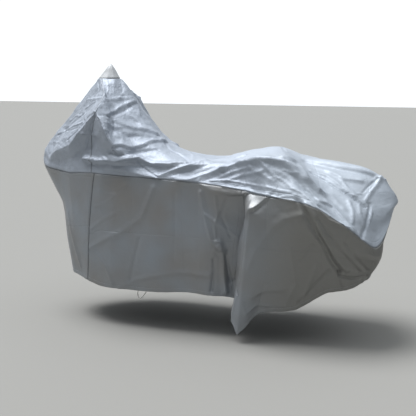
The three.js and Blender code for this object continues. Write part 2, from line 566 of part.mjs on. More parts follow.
// The loop of cord under the left hem, a round section carried along a curve from one end to the
// other, both ends just under the hem's edge.
function hemLoop() {
  const hemAt = (round) => {
    const next = stations.findIndex((station) => station > round);
    const part = (round - stations[next - 1]) / (stations[next] - stations[next - 1]);
    const middle = (column) => {
      const number = pointNumber(column, 0);
      return points[number].clone().add(inner[number]).multiplyScalar(0.5);
    };
    return middle(next - 1).lerp(middle(next), part);
  };
  const start = hemAt(LOOP_FROM);
  const end = hemAt(LOOP_TO);
  const under = (along, drop) => start.clone().lerp(end, along).add(vec(0, 0, -drop));
  const hanging = LOOP_DROPS.map(({ along, drop }) => under(along, drop));
  const route = [under(0, LOOP_CLEAR), ...hanging, under(1, LOOP_CLEAR)];
  const curve = new THREE.CatmullRomCurve3(route.map((point) => point.add(toOrigin)), false, "centripetal");
  const section = new THREE.Shape().absarc(0, 0, CORD / 2, 0, 2 * Math.PI);
  const geometry = new THREE.ExtrudeGeometry(section, {
    steps: CORD_STEPS,
    curveSegments: CORD_SIDES / 2,
    extrudePath: curve,
  });
  const mesh = new THREE.Mesh(geometry, new THREE.MeshStandardMaterial({ color: PALE_CORD, roughness: 0.7 }));
  mesh.name = "hem_loop";
  return mesh;
}


const cover = new THREE.Group();
cover.add(clothPiece("peak_cap", CAP_SILVER, 0.5));
cover.add(clothPiece("nose_panel", SILVER, 0.45));
cover.add(clothPiece("hood_panel", SILVER, 0.45));
cover.add(clothPiece("front_skirt", GREY, 0.55));
cover.add(clothPiece("left_skirt", GREY, 0.55));
cover.add(clothPiece("right_skirt", GREY, 0.55));
cover.add(hemLoop());

export default cover;
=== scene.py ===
# %% [markdown]
# # A fitted motorcycle cover
#
# The object is one big hollow of coated cloth, sewn from a few panels: a small cap at the peak, a
# nose panel, a long silver hood, and grey skirts down to a hem. What makes it look real is the way
# it hangs: tented over the screen and the bar ends, slack over the seat, pulled in a deep fold
# ahead of a hanging corner. The cells below build that hang once, as a surface worked out with
# numpy, and cut every panel out of it, so that the panels meet along their seams.

# %% Load the frame
import math

import bpy
import numpy as np
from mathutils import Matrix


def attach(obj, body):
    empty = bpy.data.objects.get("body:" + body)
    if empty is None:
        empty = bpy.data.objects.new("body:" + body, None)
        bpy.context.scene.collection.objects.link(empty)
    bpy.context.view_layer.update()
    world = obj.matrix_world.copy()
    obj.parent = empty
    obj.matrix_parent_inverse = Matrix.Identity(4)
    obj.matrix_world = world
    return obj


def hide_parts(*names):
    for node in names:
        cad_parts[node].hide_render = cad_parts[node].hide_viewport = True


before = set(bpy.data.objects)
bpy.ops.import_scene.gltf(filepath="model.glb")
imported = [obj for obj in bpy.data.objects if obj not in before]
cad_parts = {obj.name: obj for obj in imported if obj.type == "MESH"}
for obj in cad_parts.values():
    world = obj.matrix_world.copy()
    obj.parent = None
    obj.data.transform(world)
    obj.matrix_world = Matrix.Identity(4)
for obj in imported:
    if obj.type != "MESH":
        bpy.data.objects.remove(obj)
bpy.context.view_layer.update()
MM = 0.001                      # the tables below are in millimetres, as a maker would measure
print("frame nodes:", sorted(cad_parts))

# %% [markdown]
# ## The camera
#
# The photo looks at the left side from a little behind the middle and from eye height, turned
# towards the front. A long lens keeps the cover's lines nearly parallel. The camera stands where the
# two tent points, the hem and the tail fall in the frame as they do in the photo.

# %% The camera
SEAT = np.array([90.0, 0.0, 955.0])        # the origin, measured from the ground under the middle
CAMERA_PLACE = np.array([2131.0, -5141.0, 1500.0])
CAMERA_TURN = math.radians(22)             # how far the view turns towards the front
CAMERA_DIP = math.radians(8.5)             # and how far it looks down
LENS = 82.2                                # millimetres, on a sensor 36 mm wide

camera_data = bpy.data.cameras.new("camera")
camera_data.lens = LENS
camera_data.sensor_width = 36
camera = bpy.data.objects.new("camera", camera_data)
camera.location = (CAMERA_PLACE - SEAT) * MM
camera.rotation_euler = (math.pi / 2 - CAMERA_DIP, 0, CAMERA_TURN)
bpy.context.scene.collection.objects.link(camera)
bpy.context.scene.camera = camera
print("camera at", [round(v, 3) for v in camera.location])

# %% [markdown]
# ## How the cover hangs
#
# The hang could be sculpted, or dropped on a dummy with a cloth simulation. A simulation never
# lands in the photo's own folds, so the hang is set out in listed ribs instead, like a boat's lines.
# Twenty ribs run from hem to spine on each side, from the middle of the nose to the middle of the
# back, and each has a point at eight levels. Every row holds x, out from the middle, and height
# above the ground.

# %% The ribs
LEVELS = ["hem", "knee", "waist", "belt", "flank", "brow", "arch", "crown"]
SKIRT = np.array([
    # hem               knee                waist               belt
    [[-840, 0, 270], [-885, 0, 440], [-915, 0, 655], [-1055, 0, 890]],
    [[-810, 90, 265], [-840, 105, 440], [-860, 105, 665], [-965, 110, 885]],
    [[-755, 180, 262], [-780, 195, 450], [-795, 195, 675], [-850, 190, 880]],
    [[-690, 240, 258], [-700, 265, 465], [-715, 265, 685], [-725, 260, 875]],
    [[-600, 290, 245], [-580, 320, 490], [-570, 330, 690], [-545, 330, 888]],
    [[-495, 330, 222], [-475, 355, 535], [-480, 350, 700], [-470, 345, 886]],
    [[-400, 340, 222], [-385, 365, 535], [-390, 360, 700], [-390, 350, 883]],
    [[-230, 350, 222], [-215, 375, 535], [-220, 365, 700], [-220, 355, 880]],
    [[-65, 350, 230], [-55, 375, 535], [-65, 365, 700], [-75, 355, 874]],
    [[95, 345, 240], [95, 370, 535], [90, 360, 700], [85, 350, 866]],
    [[225, 340, 232], [235, 365, 530], [235, 355, 690], [230, 345, 853]],
    [[335, 285, 218], [355, 300, 515], [390, 300, 690], [395, 345, 835]],
    [[345, 400, 116], [425, 425, 510], [435, 415, 715], [425, 355, 828]],
    [[395, 420, 50], [450, 445, 515], [470, 445, 735], [462, 370, 822]],
    [[497, 372, 160], [570, 430, 507], [560, 432, 700], [560, 408, 815]],
    [[705, 350, 204], [725, 415, 515], [720, 432, 665], [715, 425, 803]],
    [[875, 330, 305], [875, 395, 515], [860, 425, 635], [850, 425, 762]],
    [[985, 290, 331], [1000, 355, 489], [985, 395, 575], [982, 400, 680]],
    [[1062, 180, 371], [1122, 250, 474], [1128, 270, 515], [1108, 274, 556]],
    [[930, 0, 520], [1000, 0, 600], [1080, 0, 680], [1150, 0, 735]],
], float)
BROW = np.array([
    [-1045, 0, 990], [-948, 112, 948], [-862, 203, 991], [-707, 282, 1044], [-499, 352, 1251],
    [-415, 386, 1126], [-366, 392, 1032], [-250, 322, 984], [-100, 325, 955], [45, 320, 954],
    [165, 280, 965], [329, 285, 973], [365, 290, 984], [407, 318, 995], [500, 336, 1013],
    [647, 328, 1002], [787, 300, 869], [937, 330, 735], [1065, 180, 740], [1170, 0, 770],
], float)
# The front ribs end round the cap's lower edge, at these angles; the others on the spine.
RING_ANGLES = np.radians([0, 20, 38, 52, 65, 95, 135, 180])
SPINE = np.array([
    [-350, 1225], [-185, 1048], [-30, 990], [90, 958], [150, 970], [215, 995],
    [350, 1030], [500, 1048], [620, 1003], [850, 975], [1010, 940], [1100, 890],
], float)
# How far flank and arch stand off the points halfway between their neighbours.
FLANK_OFF = {0: (-10, 0, 0), 1: (-5, 0, 0), 2: (0, -5, 0), 3: (0, -15, 0), 4: (-35, -45, 0),
             5: (-20, -35, 0), 6: (0, -10, 0), 12: (0, -15, 0), 13: (0, -14, 0), 14: (0, -10, 0),
             15: (0, -10, 0), 16: (0, -8, 0)}
ARCH_OFF = {0: (-2, 0, 3), 1: (0, 2, 0), 2: (8, -4, 0), 3: (10, 0, 0), 4: (35, 0, -10),
            5: (20, 0, -10), 6: (0, 0, -10), 7: (0, 0, -15), 8: (0, 0, -10)}
RIB_SOFTNESS = [1, 1, 0.4, 0.3, 0, 0.3, 0.2, 0.7, 1, 1, 0.8, 0, 0, 0, 0.6, 0.6, 0.7, 0.8, 0.9, 1]
LEVEL_SOFTNESS = np.array([1, 1, 0.6, 0.2, 0.5, 0.3, 0.7, 1])
# Where the right side hangs otherwise than the left.
RIGHT_SIDE = [
    (3, "brow", (-60, -20, 30)), (4, "brow", (-40, -30, 46)), (5, "brow", (-60, -20, 36)),
    (6, "brow", (-40, -20, 4)), (6, "arch", (0, 0, -22)), (7, "brow", (0, 0, -34)),
    (7, "arch", (0, 0, -74)), (8, "brow", (0, 0, -36)), (8, "arch", (0, 0, -56)),
    (9, "brow", (0, 0, -34)), (9, "arch", (0, 0, -32)), (10, "brow", (0, 0, -20)),
    (11, "hem", (0, 25, 20)), (11, "knee", (0, 30, 0)), (11, "waist", (0, 25, 0)),
    (12, "hem", (10, -30, 90)), (12, "knee", (0, -30, 0)), (12, "waist", (0, -35, 0)),
    (13, "hem", (0, -50, 110)), (13, "knee", (0, -45, 0)), (13, "waist", (0, -50, 0)),
    (14, "hem", (0, -10, 50)), (14, "knee", (0, -20, 0)), (14, "brow", (0, 0, -38)),
    (15, "brow", (0, 0, -62)),
    (17, "belt", (-20, 0, 30)), (17, "waist", (-30, 0, 40)), (17, "knee", (-50, 0, 30)),
    (17, "hem", (-60, 0, 30)),
    (18, "belt", (-60, -20, 90)), (18, "waist", (-80, -20, 100)), (18, "knee", (-110, -20, 90)),
    (18, "hem", (-120, -10, 90)), (18, "brow", (-20, 0, 20)),
]
CAP_X, CAP_Z = -584.0, 1428.0              # the middle of the cap's lower edge
CAP_HALF_LENGTH, CAP_HALF_WIDTH = 70.0, 55.0
TIP = np.array([-575.0, 0.0, 1514.0])      # the cap's tip

LAST_RIB = len(SKIRT) - 1
ROUND = 2 * LAST_RIB                       # ribs round the whole cover, left side first
RING_RIB = len(RING_ANGLES) - 1
BELT, CROWN = LEVELS.index("belt"), LEVELS.index("crown")


def side_ribs(side):
    """The points of one side's ribs, rib by level, with side -1 for the left and 1 for the right."""
    ribs = np.zeros((LAST_RIB + 1, len(LEVELS), 3))
    ribs[:, :BELT + 1] = SKIRT
    ribs[:, 5] = BROW
    ribs[:RING_RIB + 1, CROWN, 0] = CAP_X - CAP_HALF_LENGTH * np.cos(RING_ANGLES)
    ribs[:RING_RIB + 1, CROWN, 1] = CAP_HALF_WIDTH * np.sin(RING_ANGLES)
    ribs[:RING_RIB + 1, CROWN, 2] = CAP_Z
    ribs[RING_RIB + 1:, CROWN, 0] = SPINE[:, 0]
    ribs[RING_RIB + 1:, CROWN, 2] = SPINE[:, 1]
    moves = RIGHT_SIDE if side > 0 else []
    for rib, level, move in moves:
        if level != "arch":
            ribs[rib, LEVELS.index(level)] += move
    ribs[:, 4] = (ribs[:, BELT] + ribs[:, 5]) / 2
    ribs[:, 6] = (ribs[:, 5] + ribs[:, CROWN]) / 2
    for rib, off in FLANK_OFF.items():
        ribs[rib, 4] += off
    for rib, off in ARCH_OFF.items():
        ribs[rib, 6] += off
    for rib, level, move in moves:
        if level == "arch":
            ribs[rib, 6] += move
    ribs[:, :, 1] *= side
    return ribs


RIBS = np.concatenate([side_ribs(-1), side_ribs(1)[1:-1][::-1]])
SOFTNESS = np.array(RIB_SOFTNESS + RIB_SOFTNESS[1:-1][::-1], float)
print("ribs:", RIBS.shape[0], "of", RIBS.shape[1], "points")

# %% [markdown]
# ## The even run of the cloth
#
# Between the ribs the cloth bends smoothly in some places and turns sharply in others. A plain
# spline would round every corner. So each stretch is a mix of a straight run and a curve through
# its neighbours, weighted by how soft the cloth bends there.

# %% The even run
TINY = 1e-9


def mix(a, b, part):
    """a where part is 0, b where it is 1, and a straight run between."""
    return a + (b - a) * part


def length_of(v):
    """The lengths of an array of vectors, kept as a last axis of one."""
    return np.maximum(np.linalg.norm(v, axis=-1, keepdims=True), TINY)


def slope(a, b, c):
    """The slope of a curve at b: the slopes to its neighbours, each weighted by how near it is."""
    before, after = length_of(b - a), length_of(c - b)
    return ((b - a) * (after / before) + (c - b) * (before / after)) / (before + after)


def stretch(b, c, slope_b, slope_c, part, softness):
    """A point part way from b to c: a cubic with the two end slopes, mixed by softness with the chord."""
    run = length_of(c - b)
    cube, square = part ** 3, part ** 2
    curve = (b * (2 * cube - 3 * square + 1) + slope_b * (cube - 2 * square + part) * run
             + c * (3 * square - 2 * cube) + slope_c * (cube - square) * run)
    return mix(mix(b, c, part), curve, softness)


def from_nose(around):
    """How many ribs a place is from the middle of the nose, on either side."""
    return np.minimum(around % ROUND, (-around) % ROUND)


def rib_at(around):
    """All eight levels at places counted in ribs round the cover: one stretch between the two ribs
    next to each place, with the slopes from the ribs beyond them."""
    first = np.floor(around).astype(int)
    part = (around - first)[:, None, None]
    a, b, c, d = (RIBS[(first + k) % ROUND] for k in (-1, 0, 1, 2))
    softness = mix(SOFTNESS[first % ROUND], SOFTNESS[(first + 1) % ROUND], around - first)[:, None, None]
    levels = stretch(b, c, slope(a, b, c), slope(b, c, d), part, softness)
    levels[from_nose(around) >= RING_RIB, CROWN, 1] = 0      # the spine stays in the middle
    return levels


def cap_run(around, up):
    """The cap over its lower edge: each edge point drawn in towards the tip as it rises, a little
    full at half height and round at the top."""
    edge = rib_at(around)[:, CROWN]
    rise = np.clip(up - CROWN, 0, 1)[:, None]
    narrow = (1 - rise) * (1 + 0.35 * rise ** 2) + 0.07 * np.sqrt(1 - rise) * rise ** 2
    point = TIP + (edge - TIP) * narrow
    point[:, 2] = CAP_Z + (TIP[2] - CAP_Z) * rise[:, 0] ** 1.04
    return point


def even_cloth(around, up):
    """The even run at places round the cover and levels from 0 at the hem to 7 at the crown, 8 at
    the tip. Behind the cap the run goes over the spine and down the other side."""
    rows = np.arange(len(around))
    levels = rib_at(around)
    first = np.clip(np.floor(up).astype(int), 0, CROWN - 1)
    part = np.clip(up - first, 0, 1)[:, None]
    a = levels[rows, np.maximum(first - 1, 0)]
    b, c = levels[rows, first], levels[rows, first + 1]
    d = levels[rows, np.minimum(first + 2, CROWN)]
    chord = (c - b) / length_of(c - b)
    slope_b = np.where((first > 0)[:, None], slope(a, b, c), chord)
    over = np.clip(from_nose(around) - RING_RIB, 0, 1)[:, None]
    beyond = rib_at((ROUND - around) % ROUND)[:, CROWN - 1]
    top_slope = mix(chord, slope(b, c, beyond), over)
    slope_c = np.where((first + 2 <= CROWN)[:, None], slope(b, c, d), top_slope)
    softness = mix(LEVEL_SOFTNESS[first], LEVEL_SOFTNESS[first + 1], part[:, 0])[:, None]
    point = stretch(b, c, slope_b, slope_c, part, softness)
    on_cap = up > CROWN
    if on_cap.any():
        point[on_cap] = cap_run(around[on_cap], up[on_cap])
    return point


def outward(around, up, step=0.04):
    """The outward direction: the run round the cover crossed with the run upwards. On the spine it
    is the mean of the two sides'."""
    top = np.where(up > CROWN, CROWN + 0.999, CROWN)
    low = np.where(up > CROWN, np.maximum(up - step, CROWN), np.maximum(up - step, 0))
    high = np.minimum(up + step, top)
    low = np.where(high - low < TINY, high - step, low)
    along = even_cloth(around + step, up) - even_cloth(around - step, up)
    upwards = even_cloth(around, high) - even_cloth(around, low)
    normal = np.cross(along, upwards)
    return normal / length_of(normal)


def facing(around, up):
    """outward, evened across the spine, and straight up at the tip."""
    normal = outward(around, up)
    spine = (np.abs(up - CROWN) < 1e-6) & (from_nose(around) >= RING_RIB)
    if spine.any():
        normal[spine] += outward((ROUND - around[spine]) % ROUND, up[spine])
    normal[up > CROWN + 0.97] = (0, 0, 1)
    return normal / length_of(normal)


middle = even_cloth(np.array([7.0]), np.array([1.5]))[0]
print("a point of the left skirt, from the ground:", middle.round())

# %% [markdown]
# ## The folds
#
# Folds could be sculpted by hand or left to a noise. Here each one is laid one by one: a line on the
# cloth from place to place, how far it stands proud at its two ends (or sinks, below zero), how
# far it reaches to either side, and how crisp its crest is. Left of the line, seen along it from
# outside, is its high side.

# %% The fold table
# places as (rib, level); rise at the first and last place; reach on the high and low side; how
# crisp its crest is; whether the right side has one like it
PEAK_FOLDS = [
    ([(2.2, 6.4), (4.3, 6.0), (6.6, 6.5), (7.6, 6.9)], (4, 6), (12, 22), 1.0, True),
    ([(4.9, 5.6), (6.7, 6.3), (7.7, 6.9)], (6, 10), (24, 9), 1.0, False),
    ([(5.3, 5.8), (6.8, 6.2), (7.7, 6.9)], (-5, -6), (7, 20), 0.9, False),
    ([(4.3, 5.1), (5.7, 5.8)], (-9, -5), (8, 10), 0.8, False),
    ([(5.9, 5.8), (6.5, 5.8), (7.1, 5.8), (7.5, 6.0), (8.3, 6.4)], (9, 16), (50, 22), 1.0, False),
    ([(6.1, 5.6), (6.4, 5.6), (6.7, 5.5), (7.3, 5.7), (8.3, 6.2)], (-9, -12), (22, 40), 0.8, True),
    ([(5.5, 5.1), (6.0, 5.1), (6.3, 5.2), (6.5, 5.2), (6.8, 5.2), (7.5, 5.5), (8.8, 6.6)
      ], (12, 15), (46, 14), 1.0, True),
    ([(4.9, 5.3), (5.8, 5.6), (6.3, 5.4)], (5, 4), (18, 14), 0.9, False),
    ([(5.8, 5.8), (6.1, 5.6), (5.7, 5.2)], (-3, -3), (12, 12), 0.8, False),
    ([(6.4, 5.7), (6.5, 5.4), (6.4, 5.2)], (4, 4), (12, 12), 0.9, False),
    ([(6.5, 6.5), (7.1, 6.7), (7.4, 7.0)], (3, 3), (8, 8), 1.0, False),
    ([(7.0, 6.6), (7.4, 6.9), (7.5, 7.0)], (3, 3), (8, 8), 1.0, False),
    ([(7.6, 6.9), (7.7, 6.8), (7.7, 6.5)], (5, 5), (10, 24), 0.9, False),
    ([(7.0, 6.1), (7.4, 6.2), (7.6, 6.2)], (4, 4), (9, 12), 0.9, False),
    ([(5.1, 6.9), (5.1, 6.6), (4.7, 6.4)], (3, 2), (6, 6), 1.0, False),
    ([(2.8, 6.9), (3.6, 6.5), (3.5, 6.3)], (-3, -2), (9, 9), 0.6, False),
]
NOSE_FOLDS = [
    ([(0.5, 5.5), (0.8, 5.6), (2.3, 5.6), (3.0, 5.6), (3.3, 5.4)], (3, 8), (16, 6), 1.0, True),
    ([(0.4, 5.4), (0.8, 5.6), (2.5, 5.5), (3.0, 5.5)], (-5, -4), (5, 7), 1.0, False),
    ([(2.7, 5.2), (2.9, 5.3), (3.2, 5.3)], (-6, -5), (10, 10), 0.8, True),
    ([(3.0, 4.9), (3.3, 5.0), (3.3, 5.2), (3.4, 5.3)], (6, 7), (12, 10), 1.0, True),
    ([(2.2, 5.1), (2.4, 5.2), (2.5, 5.3)], (3, 3), (9, 9), 0.9, False),
    ([(0.5, 5.3), (2.2, 5.2), (2.7, 5.0)], (3, 3), (10, 7), 0.9, False),
    ([(3.5, 5.4), (3.7, 5.3), (4.0, 5.0)], (6, 8), (12, 9), 1.0, True),
    ([(3.5, 4.7), (3.9, 4.3), (4.6, 4.5)], (15, 10), (13, 6), 1.0, False),
    ([(4.0, 5.0), (3.9, 4.7), (3.9, 4.4)], (-14, -10), (16, 16), 0.6, True),
    ([(3.9, 4.2), (3.8, 4.1), (3.7, 3.9)], (-8, -6), (12, 12), 0.8, True),
    ([(4.1, 5.0), (4.3, 5.0), (4.6, 4.9), (4.8, 4.9), (5.3, 4.9), (5.8, 5.0), (6.1, 4.8)
      ], (-12, -16), (10, 15), 0.9, True),
    ([(3.2, 5.7), (3.7, 4.9), (3.6, 4.7)], (4, 4), (8, 8), 0.9, False),
    ([(0.8, 5.7), (2.1, 5.8), (2.8, 5.9)], (-5, -6), (16, 12), 0.5, False),
    ([(0.7, 5.9), (1.7, 6.0), (2.6, 5.9)], (4, 3), (10, 9), 0.8, True),
    ([(2.7, 6.1), (3.3, 6.1), (3.6, 6.0)], (4, 3), (10, 9), 0.8, False),
]
HOOD_FOLDS = [
    ([(3.7, 3.5), (4.7, 3.5), (5.9, 4.1), (6.5, 4.6), (7.1, 5.0), (7.3, 4.9), (7.6, 4.8),
      (8.3, 5.0), (9.1, 5.1)], (28, 13), (32, 12), 1.0, True),
    ([(3.8, 3.5), (4.1, 3.6), (4.8, 3.8), (5.4, 3.9)], (5, 4), (9, 6), 1.0, False),
    ([(3.7, 3.8), (3.9, 3.7), (4.5, 3.7)], (4, 2), (9, 7), 0.8, False),
    ([(5.5, 4.3), (6.0, 4.6), (6.5, 5.0), (7.2, 5.2), (8.1, 5.6)], (-12, -12), (17, 15), 0.6, True),
    ([(5.3, 3.3), (6.3, 3.5), (6.8, 3.3), (7.8, 3.1)], (3, 9), (26, 9), 1.0, True),
    ([(5.9, 3.7), (6.6, 4.0), (7.1, 4.1)], (-4, -8), (16, 10), 0.5, False),
    ([(7.0, 4.8), (7.2, 4.1), (7.5, 3.6), (7.8, 3.2)], (-9, -7), (8, 8), 1.0, False),
    ([(7.2, 4.0), (7.4, 3.7), (7.7, 3.3)], (6, 5), (7, 5), 1.0, False),
    ([(7.8, 3.4), (8.3, 4.1), (8.8, 4.7), (9.2, 5.0), (10.0, 5.3)], (6, 14), (14, 30), 1.0, True),
    ([(8.1, 3.4), (9.2, 4.4), (9.9, 4.8), (10.7, 5.4), (13.3, 6.2)], (-4, -9), (26, 22), 0.6, True),
    ([(8.5, 3.0), (9.0, 3.3), (9.5, 3.8), (10.1, 4.2), (10.5, 4.6)], (8, 14), (22, 34), 1.0, True),
    ([(10.5, 4.6), (11.9, 5.0), (14.0, 5.0), (14.8, 5.1)], (14, 8), (24, 30), 1.0, True),
    ([(9.9, 3.4), (10.5, 3.6), (11.0, 3.6), (13.7, 3.5), (14.5, 3.4), (14.9, 3.4)
      ], (5, 5), (8, 10), 1.0, True),
    ([(10.3, 3.0), (11.6, 3.1), (13.6, 3.1), (14.5, 3.0), (15.0, 3.0)], (4, 6), (9, 7), 1.0, False),
    ([(13.9, 4.8), (14.1, 4.5), (14.3, 4.2), (14.4, 3.9)], (6, 5), (7, 10), 1.0, True),
    ([(14.4, 4.1), (14.7, 3.9), (14.9, 3.7)], (5, 4), (7, 10), 1.0, False),
    ([(14.9, 3.6), (15.1, 3.6), (15.4, 3.6)], (5, 4), (7, 10), 1.0, False),
    ([(14.5, 3.1), (14.8, 3.2), (15.0, 3.3)], (4, 3), (7, 7), 1.0, False),
    ([(8.7, 6.4), (8.7, 6.1), (9.0, 6.1), (9.2, 5.9), (9.3, 5.1)], (-7, -10), (16, 10), 0.9, False),
    ([(28.3, 6.9), (9.8, 6.3), (9.4, 5.2)], (5, 4), (8, 12), 1.0, False),
    ([(10.4, 3.9), (10.9, 4.4), (13.1, 4.6)], (5, 5), (20, 15), 0.9, True),
    ([(10.4, 3.5), (11.8, 4.1), (13.9, 4.3)], (4, 5), (18, 14), 0.9, False),
    ([(13.1, 4.5), (13.8, 4.2), (14.2, 3.9)], (5, 4), (16, 16), 0.8, False),
    ([(14.3, 4.6), (14.8, 4.5), (15.2, 4.2), (15.4, 3.9)], (-6, -10), (30, 24), 0.3, False),
    ([(14.7, 4.5), (15.0, 4.4), (15.3, 4.7)], (5, 4), (8, 8), 1.0, False),
]
TAIL_FOLDS = [
    ([(14.8, 5.2), (15.1, 5.3), (15.4, 5.5), (15.5, 5.2), (15.6, 4.8), (15.9, 4.9), (16.1, 4.9)
      ], (14, 14), (60, 30), 1.0, False),
    ([(15.5, 3.9), (15.8, 3.8), (15.9, 3.7)], (-10, -8), (13, 13), 0.6, True),
    ([(15.4, 3.5), (15.7, 3.3), (16.0, 3.0), (16.3, 2.8), (16.7, 2.9), (17.1, 3.2)
      ], (6, 6), (9, 9), 1.0, True),
    ([(16.0, 3.3), (16.4, 3.5), (16.8, 3.6), (17.0, 3.3)], (-12, -10), (17, 15), 0.6, True),
    ([(16.0, 3.7), (16.4, 4.5), (16.7, 5.0), (16.9, 4.6), (17.2, 3.3)], (9, 9), (40, 11), 1.0, True),
    ([(16.1, 6.0), (16.5, 6.0), (16.9, 5.9), (17.3, 5.7), (17.8, 5.2)], (-9, -14), (8, 10), 1.0, True),
    ([(16.1, 6.1), (16.6, 6.2), (17.0, 6.0), (17.4, 5.7)], (6, 9), (34, 9), 1.0, False),
    ([(16.1, 6.6), (16.5, 6.6), (17.0, 6.6), (17.7, 6.6), (18.2, 6.6)
      ], (-10, -9), (26, 30), 0.0, False),
    ([(17.8, 5.5), (18.0, 5.9), (18.3, 6.3), (18.5, 6.7)], (7, 7), (11, 24), 1.0, True),
    ([(17.7, 5.8), (17.9, 6.1), (18.4, 6.6)], (-5, -5), (9, 9), 1.0, False),
    ([(17.3, 5.5), (17.4, 5.1), (17.3, 4.1)], (7, 7), (9, 22), 0.9, False),
    ([(17.6, 5.4), (17.6, 4.9), (17.7, 4.1)], (6, 5), (12, 12), 0.9, True),
    ([(18.0, 5.3), (17.9, 4.8), (17.7, 4.0), (17.5, 3.1)], (-9, -9), (12, 14), 0.8, True),
    ([(18.0, 5.3), (18.0, 4.9), (17.9, 4.5)], (6, 5), (9, 7), 1.0, False),
    ([(17.1, 6.1), (17.4, 5.9), (17.5, 5.8), (17.7, 5.8)], (5, 5), (9, 9), 0.9, False),
    ([(16.7, 6.4), (17.1, 6.3), (17.7, 6.3)], (6, 7), (20, 20), 0.7, True),
    ([(17.0, 6.3), (17.2, 6.0), (17.5, 5.7)], (4, 4), (12, 12), 0.8, False),
    ([(16.2, 5.1), (16.7, 5.5), (17.1, 5.2)], (6, 5), (26, 26), 0.6, True),
    ([(15.1, 6.9), (15.2, 6.5), (15.7, 6.5)], (-5, -4), (12, 12), 0.6, False),
]
SKIRT_FOLDS = [
    ([(4.6, 2.6), (5.7, 2.5), (6.2, 2.5), (6.5, 2.7)], (-3, -3), (24, 18), 0.3, True),
    ([(4.6, 2.0), (5.4, 2.1), (6.0, 2.3)], (3, 3), (12, 9), 0.8, False),
    ([(4.3, 0.8), (5.2, 0.9), (6.2, 1.1), (6.8, 1.5), (7.1, 1.7), (7.3, 2.1), (7.6, 2.7)
      ], (6, 6), (30, 18), 0.8, True),
    ([(4.3, 1.3), (5.4, 1.6), (6.3, 1.9)], (4, 3), (20, 15), 0.7, False),
    ([(6.2, 2.5), (6.1, 1.5), (6.0, 0.5)], (-2, -2), (7, 7), 1.0, False),
    ([(8.4, 2.6), (8.4, 1.4), (8.3, 0.6)], (-3, -2), (20, 9), 0.8, True),
    ([(9.3, 2.7), (9.4, 1.1), (9.2, 0.1)], (-2, -2), (8, 8), 1.0, False),
    ([(9.4, 2.7), (9.6, 2.0), (9.9, 1.1), (10.2, 0.9)], (10, 14), (26, 14), 1.0, True),
    ([(10.0, 2.7), (10.1, 2.1), (10.0, 1.6), (10.1, 1.1)], (6, 7), (10, 8), 1.0, False),
    ([(10.4, 2.6), (10.2, 2.0), (10.6, 1.3)], (-5, -6), (14, 8), 0.9, False),
    ([(9.6, 2.0), (10.3, 1.6), (10.9, 1.3)], (5, 4), (14, 9), 1.0, False),
    ([(7.0, 1.0), (6.8, 0.6), (6.6, 0.2)], (-4, -5), (22, 14), 0.6, True),
    ([(4.8, 0.6), (5.4, 0.4), (5.9, 0.1)], (5, 7), (18, 16), 0.7, True),
    ([(6.2, 0.0), (6.8, 0.2), (7.4, 0.3), (8.5, 0.4), (9.0, 0.4), (10.0, 0.4)
      ], (4, 7), (20, 24), 0.6, True),
    ([(10.0, 0.7), (10.0, 0.4), (9.9, 0.1)], (-10, -15), (16, 16), 0.6, True),
    ([(10.2, 1.1), (10.4, 0.8), (10.4, 0.5), (10.5, 0.1)], (12, 20), (26, 26), 0.5, True),
    ([(10.5, 0.8), (10.7, 0.4), (12.1, 0.4)], (-10, -16), (16, 18), 0.5, True),
    ([(10.0, 0.9), (10.2, 1.0), (10.5, 0.9)], (5, 5), (12, 9), 0.9, False),
    ([(2.4, 1.8), (2.8, 1.2), (3.3, 0.3)], (5, 7), (16, 24), 0.5, True),
    ([(9.4, 3.0), (9.9, 2.8), (10.6, 2.8), (11.8, 2.9)], (5, 20), (38, 15), 1.0, True),
    ([(13.2, 2.2), (13.6, 2.6), (14.0, 3.0)], (18, 10), (64, 15), 1.0, True),
]
FLAP_FOLDS = [
    ([(13.2, 0.8), (13.4, 1.0), (13.7, 1.3), (14.2, 1.8), (14.6, 2.2), (15.2, 2.5)
      ], (6, 6), (32, 26), 0.6, True),
    ([(15.1, 3.1), (15.4, 2.6), (15.7, 2.1), (16.0, 1.6), (16.2, 0.9), (16.5, 0.6)
      ], (-10, -15), (24, 19), 0.5, True),
    ([(15.4, 3.0), (15.8, 2.6), (16.1, 1.9), (16.4, 1.1), (16.8, 0.7)], (8, 11), (22, 20), 0.6, True),
    ([(15.9, 2.6), (16.4, 2.1), (16.8, 1.3), (17.3, 0.6)], (-6, -7), (15, 15), 0.5, False),
    ([(17.0, 2.2), (17.2, 1.3), (17.6, 0.6)], (-5, -6), (15, 15), 0.5, True),
    ([(16.5, 0.5), (17.0, 0.4), (17.7, 0.3)], (-10, -8), (11, 16), 0.9, True),
    ([(16.5, 0.6), (16.5, 0.3), (16.6, 0.1)], (-9, -6), (9, 13), 0.8, False),
    ([(14.8, 1.2), (14.9, 0.8), (15.0, 0.5), (14.7, 0.1)], (5, 6), (20, 20), 0.6, True),
    ([(15.7, 0.8), (15.4, 0.4), (15.2, 0.1)], (6, 6), (18, 18), 0.6, False),
    ([(16.1, 0.6), (15.6, 0.3), (15.1, 0.1)], (-6, -5), (16, 16), 0.6, True),
    ([(15.1, 0.9), (15.4, 1.2), (15.6, 1.4)], (-4, -4), (12, 12), 0.7, False),
    ([(13.1, 0.4), (13.2, 0.3), (13.5, 0.1)], (5, 4), (9, 13), 0.9, False),
    ([(13.3, 0.2), (13.8, 0.2), (14.3, 0.1)], (5, 5), (12, 9), 0.9, False),
    ([(13.5, 0.4), (14.1, 0.4), (14.6, 0.4)], (5, 4), (34, 16), 0.5, False),
]
FOLDS = PEAK_FOLDS + NOSE_FOLDS + HOOD_FOLDS + TAIL_FOLDS + SKIRT_FOLDS + FLAP_FOLDS
DEEP = 70.0                     # a line's chords run at most this far under the curved cloth


